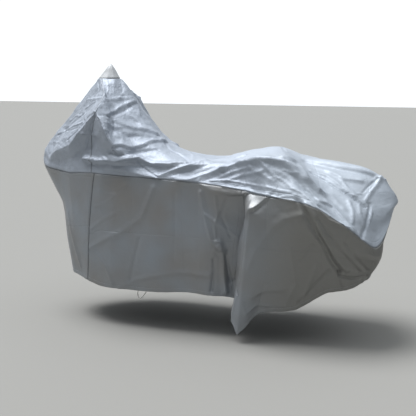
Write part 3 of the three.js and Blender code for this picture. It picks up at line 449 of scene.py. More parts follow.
def fold_lift(points, normals, line, rise, reach, crisp):
    """How far one fold lifts each point: its rise at the nearest place of its line, times a crest
    that falls off over the reach of that side, round like a bell or sharp like a ridge. The distance
    is taken along the cloth, so what a chord of the line lies under it doesn't count."""
    lift = np.zeros(len(points))
    edge = 2 * max(reach) + DEEP
    near = np.all((points > line.min(0) - edge) & (points < line.max(0) + edge), axis=1)
    if not near.any():
        return lift
    start, leg = line[:-1], np.diff(line, axis=0)
    normal = normals[near][:, None]
    apart = points[near][:, None] - start
    apart_flat = apart - (apart * normal).sum(-1, keepdims=True) * normal
    leg_flat = leg - (leg * normal).sum(-1, keepdims=True) * normal
    part = np.clip((apart_flat * leg_flat).sum(-1) / ((leg_flat ** 2).sum(-1) + 1), 0, 1)
    depth = np.abs(((apart - part[..., None] * leg) * normal).sum(-1))
    gap = apart_flat - part[..., None] * leg_flat
    distance = np.linalg.norm(gap, axis=-1) + 2 * np.maximum(depth - DEEP, 0)
    best = distance.argmin(1)
    rows = np.arange(len(best))
    side = (np.cross(normals[near], leg[best]) * gap[rows, best]).sum(-1)
    off = distance[rows, best] / np.where(side > 0, reach[0], reach[1])
    bell = np.exp(-2.2 * off ** 2)
    ridge = np.clip(1 - off, 0, 1) ** 1.15
    travelled = (best + part[rows, best]) / len(leg)
    lift[near] = np.where(off < 2, mix(rise[0], rise[1], travelled) * mix(bell, ridge, crisp), 0)
    return lift


RIGHT_DRIFT = 0.12              # how far, in ribs, the right side's folds run off the mirror image
RIGHT_RISE, RIGHT_REACH, RIGHT_CRISP = 0.85, 1.2, 0.9     # how they compare with the left side's


def on_the_right(places, rise, reach, crisp):
    """The same fold on the right side: mirrored, so its sides change places, a little off the mirror
    image, lower and broader, as no cover hangs the same on both sides."""
    moved = [(ROUND - rib - RIGHT_DRIFT * math.sin(5 * rib + 3 * level), level) for rib, level in places]
    risen = (RIGHT_RISE * rise[0], RIGHT_RISE * rise[1])
    reached = (RIGHT_REACH * reach[1], RIGHT_REACH * reach[0])
    return moved, risen, reached, RIGHT_CRISP * crisp


placed = [fold[:4] for fold in FOLDS] + [on_the_right(*fold[:4]) for fold in FOLDS if fold[4]]
FOLD_LINES = [(even_cloth(*(np.array(at) % (ROUND, 99)).T), *shape) for at, *shape in placed]
print("folds:", len(FOLD_LINES))

# %% [markdown]
# ## Slack and crumple
#
# Between the laid folds the cloth is never flat. A gentle waviness comes from a few sines. The
# coating also takes small flat facets with crisp edges, as foil does. Sines would look like water,
# so the crumple is a noise that is straight inside each small tetrahedron of a turned lattice.

# %% Slack and crumple
SLACK = 4.0                     # millimetres
CRUMPLE_SIZES = [(64.0, 3.2), (34.0, 1.9), (18.0, 0.9)]     # size of a facet, and how far it stands
CORNER_WAVES = np.array([127.1, 311.7, 74.7])             # any numbers that share no short rhythm do
LARGE = 43758.5453


def smooth(value, low, high):
    """0 below low, 1 above high, and a smooth step between."""
    t = np.clip((value - low) / (high - low), 0, 1)
    return t * t * (3 - 2 * t)


def slack(around, up):
    """A few sines round and up the cover, dying out at the spine and the cap."""
    turn = 2 * np.pi * around / ROUND
    broad = np.sin(13 * turn + 1.7 * up) * np.cos(8 * turn - 2.3 * up)
    fine = np.sin(21 * turn + 0.9 * up)
    return SLACK * (broad + 0.6 * fine) * smooth(CROWN - up, 0, 1.5)


def corner_value(cell, seed):
    """A fixed value from -1 to 1 for each whole-numbered corner: what is left of a large sine."""
    mixed = np.sin(cell @ CORNER_WAVES + seed * 17.3) * LARGE
    return 2 * (mixed - np.floor(mixed)) - 1


def facets(points, size, seed):
    """Corner values of a turned lattice, run straight across tetrahedra: the three parts of a point
    in its cell, taken from large to small, lead over the cell's corners and weigh their values."""
    turn, _ = np.linalg.qr(np.random.default_rng(seed).normal(size=(3, 3)))
    q = points @ turn / size + seed
    cell = np.floor(q)
    part = q - cell
    order = np.argsort(-part, axis=1)
    sorted_part = np.take_along_axis(part, order, axis=1)
    value = (1 - sorted_part[:, 0]) * corner_value(cell, seed)
    corner = cell.copy()
    for step in range(3):
        corner[np.arange(len(corner)), order[:, step]] += 1
        following = sorted_part[:, step + 1] if step < 2 else 0
        value = value + (sorted_part[:, step] - following) * corner_value(corner, seed)
    return value


def bent(points):
    """The points pushed about by slow sines, so that the lattice's creases don't run straight."""
    x, y, z = points.T / 90
    push = [np.sin(1.3 * y + 0.7 * z), np.sin(1.1 * z + 0.9 * x), np.sin(1.2 * x + 0.8 * y)]
    return points + 22 * np.stack(push, axis=1)


def crumpled(around, up):
    """How crumpled the cloth is: most round the peak and the nose, less on the hood and its taut
    tail, least on the skirts, which hang flat."""
    nearest = from_nose(around)
    front = 1 - smooth(nearest, 7.5, 11)
    tail = smooth(nearest, 13.5, 15.5)
    hood = smooth(up, BELT - 0.05, BELT + 0.35)
    cap = smooth(up, CROWN, CROWN + 0.1)
    top = 0.8 + 0.2 * front - 0.4 * tail
    return 0.4 * (1 - hood) + top * hood * (1 - cap) + 0.25 * cap


def crumple(points, amount):
    """The facets of every size, added up and scaled by how crumpled the cloth is."""
    sizes = enumerate(CRUMPLE_SIZES, start=3)
    return amount * sum(depth * facets(bent(points), size, seed) for seed, (size, depth) in sizes)


def loose(around, up):
    """How freely the cloth lifts: 1 nearly everywhere, but the steep spine behind the cap is held
    taut, so that the folds of one side end before it."""
    nearest = from_nose(around)
    taut = smooth(nearest, 6, 7) * (1 - smooth(nearest, 9, 10.5))
    return 1 - 0.9 * taut * smooth(up, CROWN - 0.4, CROWN)


def hang(around, up):
    """The cloth as it hangs: the even run, lifted outwards by slack, folds and crumple. In
    millimetres from the ground, with the outward directions."""
    around = around % ROUND
    point = even_cloth(around, up)
    normal = facing(around, up)
    lift = slack(around, np.minimum(up, CROWN)) + crumple(point, crumpled(around, up))
    for line, rise, reach, crisp in FOLD_LINES:
        lift += fold_lift(point, normal, line, rise, reach, crisp)
    return point + normal * (lift * loose(around, up))[:, None], normal


probe, _ = hang(np.array([7.0, 14.0]), np.array([5.0, 6.0]))
print("two points as they hang:", probe.round().tolist())

# %% [markdown]
# ## Cutting the panels
#
# Each panel is a grid of places on the hang. The grid is fine enough to carry the facets, and has
# extra rows close to its edges, because a seam pulls the cloth in over a few millimetres and a hem
# is a doubled strip with a line of stitches. The panels take their edges from the same surface, so
# they meet without any fitting.

# %% The grids
FINE = (8.6, 8.6)               # millimetres between points of the cloth, round the cover and up it
FLAP_FINE, NOSE_FINE = (7, 6.6), (5, 4.8)
HOOD_FINE, CAP_FINE = (9.2, 6.3), (4, 4)
SEAM_OFFSETS = [1.2, 3, 6, 10]  # extra rows at a seam
HEM_OFFSETS = [1.5, 6, 12, 17, 20, 23, 28]
SEAM_DIP, SEAM_REACH = 3.4, 4.6
HEM_DEPTH, HEM_RISE = 20.0, 0.9            # the doubled strip of the hem
PUCKER, PUCKER_REACH = 1.4, 34.0
SEAM_RIB, LOWER_SEAM_RIB = 4, 4 + 1 / 3
LOWER_SEAM_LEAN = 0.3           # how far forward the lower front seam leans on its way to the hem
LEFT, RIGHT, BOTTOM, TOP = (0, False), (0, True), (1, False), (1, True)
SPANS = np.linalg.norm(np.diff(RIBS[:LAST_RIB + 1], axis=0), axis=-1)
RISES = np.linalg.norm(np.diff(RIBS[:LAST_RIB + 1], axis=1), axis=-1)


def divided(first, last, lengths, spacing, start_offsets, end_offsets):
    """Places from first to last, each span cut into equal strips near the spacing, with more
    places at the given offsets from the two ends."""
    cuts = [np.linspace(k, k + 1, math.ceil(run / spacing) + 1) for k, run in enumerate(lengths)]
    cuts = np.concatenate(cuts)
    cuts = cuts[(cuts > first) & (cuts < last)]
    start_run, end_run = lengths[int(first)], lengths[math.ceil(last) - 1]
    extra = [first + off / start_run for off in start_offsets]
    extra += [last - off / end_run for off in end_offsets]
    return np.unique(np.round(np.concatenate([cuts, extra, [first, last]]), 7))


def leaned(around, up):
    """Below the belt the grid leans with the lower front seams, most at the hem."""
    place = np.where(around > LAST_RIB, ROUND - around, np.abs(around))
    towards = np.where((around > LAST_RIB) | (around < 0), 1, -1)
    near = np.clip(1 - np.abs(place - LOWER_SEAM_RIB), 0, 1)
    return around + towards * LOWER_SEAM_LEAN * near * np.clip(1 - up / BELT, 0, 1)


def from_edge(points, edge):
    """The distance of every grid point from one edge of its grid, along the grid's lines."""
    axis, far_end = edge
    run = np.cumsum(np.linalg.norm(np.diff(points, axis=axis), axis=-1), axis=axis)
    run = np.insert(run, 0, 0, axis=axis)
    return run.take([-1], axis=axis) - run if far_end else run


def close_to_seam(points, around, up, seams):
    """1 on a seam, falling away from it like a bell. Nothing is sewn on the spine behind the cap."""
    close = np.zeros(points.shape[:2])
    on_spine = (up.max() == CROWN) & (from_nose(around) > RING_RIB + 0.1)
    for edge in seams:
        bell = np.exp(-(from_edge(points, edge) / SEAM_REACH) ** 2)
        close = np.maximum(close, np.where(on_spine, 0, bell) if edge == TOP else bell)
    return close


def sewn(points, seam, hem):
    """How far the sewing lifts each point of a grid: a seam dips in, and the hem's doubled strip
    stands proud, with a groove along its stitches and small puckers."""
    lift = -SEAM_DIP * seam
    if hem:
        off = from_edge(points, BOTTOM)
        run = points[..., 0] + 0.9 * points[..., 1]
        puckers = np.sin(run / 9) * np.sin(run / 37 + 1) + 0.5 * np.sin(run / 23)
        lift += HEM_RISE * (1 - smooth(off, HEM_DEPTH - 1, HEM_DEPTH + 2))
        lift -= HEM_RISE * np.exp(-((off - HEM_DEPTH) / 2.5) ** 2)
        lift += PUCKER * puckers * np.exp(-(off / PUCKER_REACH) ** 2)
    return lift


def panel_grid(around_range, up_range, seams, hem, spacing):
    """One panel's grid: its places round the cover and up it, its points as sewn with their outward
    directions, and their flat places in metres."""
    low, high = up_range
    runs = np.concatenate([SPANS, SPANS[::-1]])[:, low:min(high, CROWN) + 1].mean(1)
    runs = np.tile(runs, 2)
    first, last = (place + ROUND for place in around_range)
    near = np.abs((np.arange(math.floor(first), math.ceil(last) + 1) + LAST_RIB) % ROUND - LAST_RIB)
    heights = np.append(RISES[near].mean(0), TIP[2] - CAP_Z)
    ends = {edge: SEAM_OFFSETS if edge in seams else [] for edge in (LEFT, RIGHT, BOTTOM, TOP)}
    ends[BOTTOM] = HEM_OFFSETS if hem else ends[BOTTOM]
    rounds = divided(first, last, runs, spacing[0], ends[LEFT], ends[RIGHT])
    ups = divided(low, high, heights, spacing[1], ends[BOTTOM], ends[TOP])
    around, up = np.meshgrid(rounds - ROUND, ups, indexing="ij")
    points, normals = hang(leaned(around, up).ravel(), up.ravel())
    points, normals = points.reshape(around.shape + (3,)), normals.reshape(around.shape + (3,))
    seam = close_to_seam(points, around, up, seams)
    points = points + normals * sewn(points, seam, hem)[..., None]
    run_marks, height_marks = (np.insert(np.cumsum(marks), 0, 0) for marks in (runs, heights))
    flat_run = np.interp(around + ROUND, np.arange(len(run_marks)), run_marks)
    flat_height = np.interp(up, np.arange(len(height_marks)), height_marks)
    flat = np.stack([flat_run, flat_height], -1) * MM
    return {"around": around, "up": up, "points": points, "normals": normals, "flat": flat,
            "seam": seam}


SKIRT_SEAMS, BELT_SEAMS = [LEFT, RIGHT, TOP], [LEFT, RIGHT, BOTTOM, TOP]
FRONT = (-LOWER_SEAM_RIB, LOWER_SEAM_RIB)
LEFT_HALF, RIGHT_HALF = (LOWER_SEAM_RIB, LAST_RIB), (LAST_RIB, ROUND - LOWER_SEAM_RIB)
NOSE, HOOD = (-SEAM_RIB, SEAM_RIB), (SEAM_RIB, ROUND - SEAM_RIB)
BELOW, ABOVE, CAP = (0, BELT), (BELT, CROWN), (CROWN, CROWN + 1)
# the places round the cover and up it, the seams, whether there is a hem, and the points' spacing
CUTS = {
    "front_skirt": (FRONT, BELOW, SKIRT_SEAMS, True, FINE),
    "left_skirt": (LEFT_HALF, BELOW, SKIRT_SEAMS, True, FLAP_FINE),
    "right_skirt": (RIGHT_HALF, BELOW, SKIRT_SEAMS, True, FINE),
    "nose_panel": (NOSE, ABOVE, BELT_SEAMS, False, NOSE_FINE),
    "hood_panel": (HOOD, ABOVE, BELT_SEAMS, False, HOOD_FINE),
    "peak_cap": ((-RING_RIB, RING_RIB), CAP, [BOTTOM], False, CAP_FINE),
}
grids = {name: panel_grid(*cut) for name, cut in CUTS.items()}
for name, grid in grids.items():
    print(name, "grid", grid["up"].shape)

# %% [markdown]
# ## From grids to panels
#
# A grid becomes one mesh of quads. The hood's two sides are welded along the spine and the cap's
# grid is closed on itself and at its tip, because those panels are one cloth with no seam there. A
# Solidify modifier then gives the cloth its two faces. Its flat place goes along as a UV map in
# metres, so that the weave and the packing creases follow the cloth and not the space around it.

# %% The panels
CLOTH = 1.2                     # millimetres, with its coats and the air in its folds


def welded(grid):
    """The grid's quads as numbers of grid points, and the same with points that coincide made one."""
    index = np.arange(grid["up"].size).reshape(grid["up"].shape)
    one = index.copy()
    if grid["up"].max() > CROWN:
        one[-1] = one[0]
        one[:, -1] = one[0, -1]
    elif grid["up"].max() == CROWN and grid["around"].max() > ROUND - RING_RIB:
        behind = (grid["around"][:, 0] > LAST_RIB) & (grid["around"][:, 0] <= ROUND - RING_RIB)
        one[behind, -1] = one[::-1, -1][behind]
    corners = [index[:-1, :-1], index[1:, :-1], index[1:, 1:], index[:-1, 1:]]
    corners = np.stack(corners, -1).reshape(-1, 4)
    return corners, one.ravel()[corners]


def in_frame(points):
    """Millimetres from the ground, as metres in the frame."""
    return (points - SEAT) * MM


def mesh_object(name, points, faces):
    """A smooth mesh object at the origin, from an array of points and a list of faces."""
    mesh = bpy.data.meshes.new(name)
    mesh.from_pydata(points.tolist(), [], faces)
    mesh.shade_smooth()
    made = bpy.data.objects.new(name, mesh)
    bpy.context.scene.collection.objects.link(made)
    return made


def panel(name, grid):
    """One panel of cloth: the welded grid with its flat places and crumple, and a second face."""
    corners, numbers = welded(grid)
    used, numbers = np.unique(numbers, return_inverse=True)
    numbers = numbers.reshape(-1, 4)
    pointed = numbers[:, 2] == numbers[:, 3]         # the quads that end at the cap's tip
    faces = numbers[~pointed].tolist() + numbers[pointed][:, :3].tolist()
    made = mesh_object(name + "_cloth", in_frame(grid["points"].reshape(-1, 3)[used]), faces)
    flat = grid["flat"].reshape(-1, 2)
    quads, triangles = flat[corners[~pointed]], flat[corners[pointed][:, :3]]
    made.data.uv_layers.new(name="flat").data.foreach_set("uv", np.append(quads, triangles))
    amount = crumpled(grid["around"].ravel(), grid["up"].ravel())[used]
    made.data.attributes.new("crumple", "FLOAT", "POINT").data.foreach_set("value", amount)
    seam = grid["seam"].ravel()[used]
    made.data.attributes.new("seam", "FLOAT", "POINT").data.foreach_set("value", seam)
    both_faces = made.modifiers.new("both faces", "SOLIDIFY")
    both_faces.thickness = CLOTH * MM
    both_faces.offset = -1
    both_faces.use_even_offset = False
    return made


panels = {name: panel(name, grid) for name, grid in grids.items()}
areas = {name: sum(face.area for face in made.data.polygons) for name, made in panels.items()}
for name, area in areas.items():
    print(name, "area", round(area, 3), "m2, quads", len(panels[name].data.polygons))

# %% [markdown]
# ## The stitches
#
# A lockstitch in plain thread runs beside the belt seam and the front seams, along the hem and round
# the cap. Bump could hint at it, but each stitch is a small raised thread that catches the light, so
# it is modelled: a short bow of thread, laid end to end along a line at a set distance from the edge.

# %% The stitches
STITCH_PITCH, STITCH_LENGTH, THREAD = 4.6, 3.6, 0.7       # millimetres
SEAM_ALLOWANCE = 5.5
# A stitch from end to end, in its lengths, and how far its middle stands up, in thread widths.
BOW = np.array([[-0.5, -0.25], [-0.3, 0.3], [0.3, 0.3], [0.5, -0.25]])


def line_beside(grid, edge, off):
    """The points and outward directions of a line on the cloth at a distance from a grid's edge:
    between the two points of every cross run that lie around that distance."""
    axis, far_end = edge
    distance, points, normals = from_edge(grid["points"], edge), grid["points"], grid["normals"]
    if axis == 0:
        distance, points, normals = distance.T, points.swapaxes(0, 1), normals.swapaxes(0, 1)
    if far_end:
        distance, points, normals = distance[:, ::-1], points[:, ::-1], normals[:, ::-1]
    rows = np.arange(len(distance))
    after = (distance >= off).argmax(1)
    near, far = distance[rows, after - 1], distance[rows, after]
    part = ((off - near) / (far - near))[:, None]
    line = mix(points[rows, after - 1], points[rows, after], part)
    return line, normals[rows, after]


def stitched(line, normals):
    """The corners and faces of a row of stitches along a line: each is a square thread through four
    places of a bow, closed at its ends."""
    run = np.insert(np.cumsum(np.linalg.norm(np.diff(line, axis=0), axis=1)), 0, 0)
    middles = np.arange(STITCH_PITCH, run[-1] - STITCH_PITCH, STITCH_PITCH)
    centre, ahead, out = (np.stack([np.interp(at, run, column) for column in rows.T], 1)
                          for at, rows in ((middles, line), (middles + 1, line), (middles, normals)))
    ahead = (ahead - centre) / length_of(ahead - centre)
    out = out / length_of(out)
    side = np.cross(out, ahead)
    bow = centre[:, None] + ahead[:, None] * BOW[:, :1] * STITCH_LENGTH
    bow = bow + out[:, None] * BOW[:, 1:] * THREAD
    width, height = side[:, None] * THREAD / 2, out[:, None] * THREAD / 2
    corners = np.stack([bow - width - height, bow + width - height, bow + width + height,
                        bow - width + height], 2)
    ring = np.arange(4)
    walls = [[4 * k + ring, 4 * k + np.roll(ring, -1), 4 * k + 4 + np.roll(ring, -1), 4 * k + 4 + ring]
             for k in range(3)]
    walls = np.concatenate([np.stack(wall, 1) for wall in walls])
    faces = np.concatenate([walls[:, ::-1], [ring, 12 + ring[::-1]]])
    each = 16 * np.arange(len(middles))[:, None, None]
    return corners.reshape(-1, 3), (faces + each).reshape(-1, 4)


def stitches(name, grid, lines):
    """One object with the stitches of a panel, along every given line beside an edge."""
    corners, faces, count = [], [], 0
    for edge, off in lines:
        some, quads = stitched(*line_beside(grid, edge, off))
        corners.append(some)
        faces.append(quads + count)
        count += len(some)
    points = in_frame(np.concatenate(corners))
    made = mesh_object(name + "_stitches", points, np.concatenate(faces).tolist())
    made.data.shade_flat()
    print(name, "stitches", count // 16)
    return made


HEM_LINE, BELT_LINE = (BOTTOM, HEM_DEPTH), (TOP, SEAM_ALLOWANCE)
SIDE_LINES = [(LEFT, SEAM_ALLOWANCE), (RIGHT, SEAM_ALLOWANCE)]
SEWN_LINES = {
    "front_skirt": [HEM_LINE, BELT_LINE, *SIDE_LINES],
    "left_skirt": [HEM_LINE, BELT_LINE],
    "right_skirt": [HEM_LINE, BELT_LINE],
    "nose_panel": SIDE_LINES,
    "peak_cap": [(BOTTOM, SEAM_ALLOWANCE)],
}
threads = {name: stitches(name, grids[name], lines) for name, lines in SEWN_LINES.items()}

# %% [markdown]
# ## The loop of cord
#
# A short loop of cord is sewn under the left hem, for tying the cover down. It could be a swept
# profile in a mesh. A curve with a round bevel keeps its centreline as data, which is easy to move.

# %% The cord loop
LOOP_FROM, LOOP_TO = 6.93, 7.25            # places round the cover
LOOP_CLEAR = 0.45
LOOP_DROPS = [(0, 6), (-0.04, 16), (-0.02, 26), (0.07, 38), (0.22, 44), (0.42, 41),
              (0.64, 30), (0.83, 17), (1, 6)]             # part of the way along, and how far below
CORD_WIDTH = 5.0
CORD_STEPS = 49


def curve_through(places, count):
    """Evenly timed points on a smooth curve through the places: cubic stretches with each place's
    slope taken from its neighbours."""
    places = np.asarray(places, float)
    ends = np.concatenate([2 * places[:1] - places[1:2], places, 2 * places[-1:] - places[-2:-1]])
    at = np.linspace(0, len(places) - 1, count)
    first = np.minimum(at.astype(int), len(places) - 2)
    a, b, c, d = (ends[first + k] for k in range(4))
    return stretch(b, c, slope(a, b, c), slope(b, c, d), (at - first)[:, None], 1.0)


hem_ends, hem_out = hang(np.array([LOOP_FROM, LOOP_TO]), np.zeros(2))
hem_ends = hem_ends - hem_out * CLOTH / 2
start, end = hem_ends
route = np.array([mix(start, end, along) - (0, 0, drop) for along, drop in LOOP_DROPS])
route = np.concatenate([[start - (0, 0, LOOP_CLEAR)], route, [end - (0, 0, LOOP_CLEAR)]])
cord_line = in_frame(curve_through(route, CORD_STEPS))
cord_curve = bpy.data.curves.new("hem_loop", "CURVE")
cord_curve.dimensions = "3D"
cord_curve.bevel_depth = CORD_WIDTH / 2 * MM
cord_curve.bevel_resolution = 5
cord_curve.use_fill_caps = True
spline = cord_curve.splines.new("POLY")
spline.points.add(CORD_STEPS - 1)
spline.points.foreach_set("co", np.c_[cord_line, np.ones(CORD_STEPS)].ravel())
hem_loop = bpy.data.objects.new("hem_loop_cord", cord_curve)
bpy.context.scene.collection.objects.link(hem_loop)

# %% [markdown]
# ## A small language for materials
#
# A node graph made by hand is hard to read in a script. Here a socket is wrapped so that plain
# arithmetic makes the maths nodes, and every other node comes from one call.

# %% The node wrapper


class Wire:
    """One output of a material's nodes. Arithmetic on it adds maths nodes."""

    def __init__(self, tree, socket):
        self.tree, self.socket = tree, socket

    def maths(self, operation, *values):
        return node(self.tree, "ShaderNodeMath", {"operation": operation}, dict(enumerate(values)))[0]

    def __add__(self, other):
        return self.maths("ADD", self, other)

    def __sub__(self, other):
        return self.maths("SUBTRACT", self, other)

    def __rsub__(self, other):
        return self.maths("SUBTRACT", other, self)

    def __mul__(self, other):
        return self.maths("MULTIPLY", self, other)

    def __truediv__(self, other):
        return self.maths("DIVIDE", self, other)

    def __rtruediv__(self, other):
        return self.maths("DIVIDE", other, self)

    def __pow__(self, other):
        return self.maths("POWER", self, other)

    __radd__ = __add__


def node(tree, kind, settings=None, sockets=None):
    """A new node with its settings, then its sockets' values or links. Gives its outputs."""
    made = tree.nodes.new(kind)
    for key, value in (settings or {}).items():
        setattr(made, key, value)
    for key, value in (sockets or {}).items():
        if isinstance(value, Wire):
            tree.links.new(value.socket, made.inputs[key])
        else:
            made.inputs[key].default_value = value
    return [Wire(tree, output) for output in made.outputs]


def blended(tree, part, a, b):
    """The colour a where part is 0 and b where it is 1."""
    return node(tree, "ShaderNodeMix", {"data_type": "RGBA"}, {0: part, 6: a, 7: b})[2]


def noise(tree, at, scale, detail=2.0):
    """A soft noise from 0 to 1, with about so many lumps to the metre."""
    return node(tree, "ShaderNodeTexNoise", {}, {"Vector": at, "Scale": scale, "Detail": detail})[0]


def pyramids(tree, at, scale):
    """Flat facets with crisp edges: the distance to the nearest of some random points, measured
    along the axis where it is longest."""
    settings = {"distance": "CHEBYCHEV", "feature": "F1"}
    return node(tree, "ShaderNodeTexVoronoi", settings, {"Vector": at, "Scale": scale})[0]


def sine(value):
    """The sine of a value, in radians."""
    return value.maths("SINE", value)


def bell(off, width):
    """1 where off is 0, falling away like a bell over the width."""
    return 1.0 / (1.0 + (off / width) ** 4.0)


def finished(tree, **sockets):
    """The surface of a material: a Principled BSDF with the given sockets."""
    names = {key.replace("_", " ").title(): value for key, value in sockets.items()}
    surface = node(tree, "ShaderNodeBsdfPrincipled", {}, names)[0]
    node(tree, "ShaderNodeOutputMaterial", {}, {"Surface": surface})


def new_tree(name):
    """An empty material and its node tree."""
    material = bpy.data.materials.new(name)
    material.use_nodes = True
    material.node_tree.nodes.clear()
    return material, material.node_tree


print("materials so far:", len(bpy.data.materials))

# %% [markdown]
# ## The cloths
#
# The hood is woven polyester with a silver coat, which glints like foil where it faces the light.
# The skirts are the same cloth, coloured darker as painted shade, and the cap is a smoother patch,
# coloured lighter as painted light. Cloudy patches of a second colour are partly the coat's uneven
# tone and partly painted reflection, and behind the seat the colour is darker as painted shade. A
# photo texture would fix the folds' light in place, so the look comes from the coat's shine on real
# relief: the mesh carries the folds, and a bump carries the finest creases and the weave. The seams
# are coloured darker as painted shade in their grooves.

# %% The cloth materials
WEAVE = 1 / 0.0011              # threads to the metre
WEAVE_DEPTH = 0.00004           # metres
PACKED_LINES = 0.31             # metres between the creases left from packing
PACKED_WIDTH = 0.0025           # and how wide each is
FACETS = [(17.0, 0.004), (42.0, 0.002), (95.0, 0.0008)]   # how many to the metre, and how deep in metres
REAR_START, REAR_END = 0.2, 0.7 # metres behind the seat, where the colour turns darker as painted shade
SEAM_SHADE_COLOUR, SEAM_SHADE_AMOUNT = (0.10, 0.105, 0.11, 1), 0.6             # painted shade in a seam's groove: its colour, and how much


def weave_height(tree, flat):
    """The height of a plain weave, in metres: two crossing waves of threads."""
    x, y = node(tree, "ShaderNodeSeparateXYZ", {}, {"Vector": flat})[:2]
    return sine(x * (WEAVE * math.pi)) * sine(y * (WEAVE * math.pi)) * WEAVE_DEPTH


def coated_cloth(name, colour, shade, rear, metallic, roughness, crease, packed):
    """Coated cloth: fine flat facets, packing creases in a grid, and a weave, all as bump, under a
    coat that is rougher in some spots than in others, has cloudy patches that are partly painted
    reflection, turns darker behind the seat as painted shade, and has painted shade in its seams."""
    material, tree = new_tree(name)
    place = node(tree, "ShaderNodeTexCoord")[3]
    flat = node(tree, "ShaderNodeUVMap", {"uv_map": "flat"})[0]
    amount = node(tree, "ShaderNodeAttribute", {"attribute_name": "crumple"})[2]
    push = node(tree, "ShaderNodeTexNoise", {}, {"Vector": place, "Scale": 9.0, "Detail": 1.0})[1]
    bent_place = node(tree, "ShaderNodeVectorMath", {"operation": "MULTIPLY_ADD"},
                      {0: push, 1: (0.05, 0.05, 0.05), 2: place})[0]
    broad, coarse, fine = (pyramids(tree, bent_place, scale) * depth for scale, depth in FACETS)
    x, y = node(tree, "ShaderNodeSeparateXYZ", {}, {"Vector": flat})[:2]
    off_x, off_y = (flat_place.maths("PINGPONG", flat_place, PACKED_LINES / 2) for flat_place in (x, y))
    packing = bell(off_x, PACKED_WIDTH) + bell(off_y, PACKED_WIDTH)
    height = (broad + coarse + fine) * amount * crease - packing * packed + weave_height(tree, flat)
    relief = node(tree, "ShaderNodeBump", {}, {"Strength": 1.0, "Distance": 1.0, "Height": height})[0]
    # cloudy patches: partly the coat's uneven tone, partly painted reflection of sky and ground
    tone_and_reflection_patches = (noise(tree, place, 4.0, 2.0) - 0.5) * 2.2 + 0.5
    rubbed = noise(tree, place, 60.0, 3.0)
    # behind the seat the colour turns darker: painted shade
    back = node(tree, "ShaderNodeSeparateXYZ", {}, {"Vector": place})[0]
    rear_painted_shade = node(tree, "ShaderNodeMapRange", {"interpolation_type": "SMOOTHSTEP"},
                       {"Value": back, "From Min": REAR_START, "From Max": REAR_END})[0]
    front = blended(tree, tone_and_reflection_patches, shade, colour)
    # the seams are coloured darker: painted shade in their grooves
    seam = node(tree, "ShaderNodeAttribute", {"attribute_name": "seam"})[2]
    cloth = blended(tree, rear_painted_shade, front, rear)
    finished(tree, base_color=blended(tree, seam * SEAM_SHADE_AMOUNT, cloth, SEAM_SHADE_COLOUR), metallic=metallic,
             roughness=rubbed * 0.16 + (roughness - 0.08), normal=relief)
    return material


# colour, its second colour in cloudy patches (partly painted reflection), its darker rear colour as
# painted shade, metallic, roughness, and how deep the facets and the packing creases are
LOOKS = {
    "silver_cloth": ((0.45, 0.50, 0.58, 1), (0.39, 0.435, 0.505, 1), (0.43, 0.48, 0.545, 1),
                     0.3, 0.54, 1.0, 0.0006),
    # the skirts: the silver cloth coloured darker, as painted shade
    "grey_cloth": ((0.33, 0.37, 0.42, 1), (0.31, 0.31, 0.31, 1), (0.25, 0.25, 0.24, 1),
                   0.4, 0.45, 0.7, 0.0008),
    # the cap: a smoother patch, coloured lighter as painted light
    "cap_cloth": ((0.64, 0.66, 0.69, 1), (0.58, 0.60, 0.62, 1), (0.58, 0.60, 0.62, 1),
                  0.15, 0.4, 0.5, 0.0),
}
cloths = {name: coated_cloth(name, *look) for name, look in LOOKS.items()}
print("cloths:", sorted(cloths))

# %% [markdown]
# The cord is a braid of pale thread. Its strands are drawn as two crossed spirals of bump along
# the cord's own length, since modelling them would cost more than they show. The sewing thread is
# plain and matt, since a single stitch is too small to show more.

# %% The cord material
BRAID_TURNS, BRAID_STRANDS, BRAID_DEPTH = 60.0, 6.0, 0.00025
loop_cord, tree = new_tree("loop_cord")
braid_place = node(tree, "ShaderNodeUVMap")[0]
along, turned = node(tree, "ShaderNodeSeparateXYZ", {}, {"Vector": braid_place})[:2]
one_way = sine((along * BRAID_TURNS + turned * BRAID_STRANDS) * (2 * math.pi))
other_way = sine((along * BRAID_TURNS - turned * BRAID_STRANDS) * (2 * math.pi))
braid = one_way.maths("MAXIMUM", one_way, other_way) * BRAID_DEPTH
relief = node(tree, "ShaderNodeBump", {}, {"Strength": 1.0, "Distance": 1.0, "Height": braid})[0]
finished(tree, base_color=(0.55, 0.55, 0.53, 1), roughness=0.8, normal=relief)

thread_cloth, tree = new_tree("thread")
finished(tree, base_color=(0.42, 0.44, 0.46, 1), roughness=0.7)
print("materials:", len(bpy.data.materials))

# %% [markdown]
# ## Which piece stands for which
#
# Each panel takes the place of its plain solid, moves with the body, and has a material slot.

# %% The pieces
SLOTS = {"nose_panel": "silver_cloth", "hood_panel": "silver_cloth", "peak_cap": "cap_cloth",
         "front_skirt": "grey_cloth", "left_skirt": "grey_cloth", "right_skirt": "grey_cloth"}
for name, made in panels.items():
    made.data.materials.append(cloths[SLOTS[name]])
    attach(made, "root")
    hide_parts(name)
    sewing = [threads[name]] if name in threads else []
    for thread in sewing:
        thread.data.materials.append(thread_cloth)
        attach(thread, "root")

hem_loop.data.materials.append(loop_cord)
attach(hem_loop, "root")
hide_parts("hem_loop")

# %% [markdown]
# ## Floor and light
#
# The photo has soft light from high up and ahead of the nose: the top of the cover is bright and its
# side dark. A distant light with soft shadows gives the same, with little from the camera's side.
# The coat mirrors what stands around it, so the sky is pale overhead and behind the cover.

# %% Floor and light
GROUND = -SEAT[2] * MM
FLOOR_SIZE = (60, 60)
LIGHT_WAY = (1.8, 0.0, -4.8)               # down, and from the nose towards the tail
LIGHT_SPREAD, LIGHT_STRENGTH = math.radians(38), 3.3
BACKDROP_WAY = (-0.37, 0.93, 0.0)          # from the camera over the cover
BACKDROP_GLOW, LEAST_GLOW = 1.1, 0.04


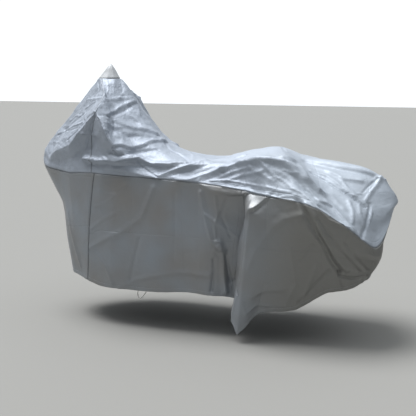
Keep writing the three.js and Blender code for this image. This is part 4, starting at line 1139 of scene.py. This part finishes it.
def plane(name, centre, size, material):
    """A flat square or oblong, level, of one material."""
    x, y = size[0] / 2, size[1] / 2
    corners = [[-x, -y, 0], [x, -y, 0], [x, y, 0], [-x, y, 0]]
    made = mesh_object(name, np.array(corners) + centre, [[0, 1, 2, 3]])
    made.data.materials.append(material)
    return made


def high_sun(name, way, spread, strength):
    """A distant soft light that shines along the given way, over the given angle."""
    data = bpy.data.lights.new(name, "SUN")
    data.angle = spread
    data.energy = strength
    made = bpy.data.objects.new(name, data)
    flat_run = math.hypot(way[0], way[1])
    made.rotation_euler = (math.atan2(flat_run, -way[2]), 0, math.atan2(way[1], way[0]) - math.pi / 2)
    bpy.context.scene.collection.objects.link(made)
    return made


ground_cover, tree = new_tree("floor")
finished(tree, base_color=(0.29, 0.287, 0.275, 1), roughness=0.9)
floor = plane("floor", (0, 0, GROUND), FLOOR_SIZE, ground_cover)

high_sun("high_light", LIGHT_WAY, LIGHT_SPREAD, LIGHT_STRENGTH)

bpy.context.scene.view_settings.view_transform = "Standard"
world = bpy.data.worlds.new("studio")
bpy.context.scene.world = world
world.use_nodes = True
world.node_tree.nodes.clear()
tree = world.node_tree
way = node(tree, "ShaderNodeTexCoord")[0]
high = node(tree, "ShaderNodeSeparateXYZ", {}, {"Vector": way})[2]
behind = node(tree, "ShaderNodeVectorMath", {"operation": "DOT_PRODUCT"}, {0: way, 1: BACKDROP_WAY})[1]
overhead = node(tree, "ShaderNodeMapRange", {"interpolation_type": "SMOOTHSTEP"},
                {"Value": high, "From Min": 0.3, "From Max": 0.95})[0]
backed = node(tree, "ShaderNodeMapRange", {"interpolation_type": "SMOOTHSTEP"},
              {"Value": behind, "From Min": 0.7, "From Max": 0.95})[0]
strength = overhead + backed * (1.0 - overhead) * BACKDROP_GLOW + LEAST_GLOW
sky = node(tree, "ShaderNodeBackground", {}, {"Color": (0.93, 0.97, 1.0, 1), "Strength": strength})[0]
node(tree, "ShaderNodeOutputWorld", {}, {"Surface": sky})
print("lights:", len(bpy.data.lights))
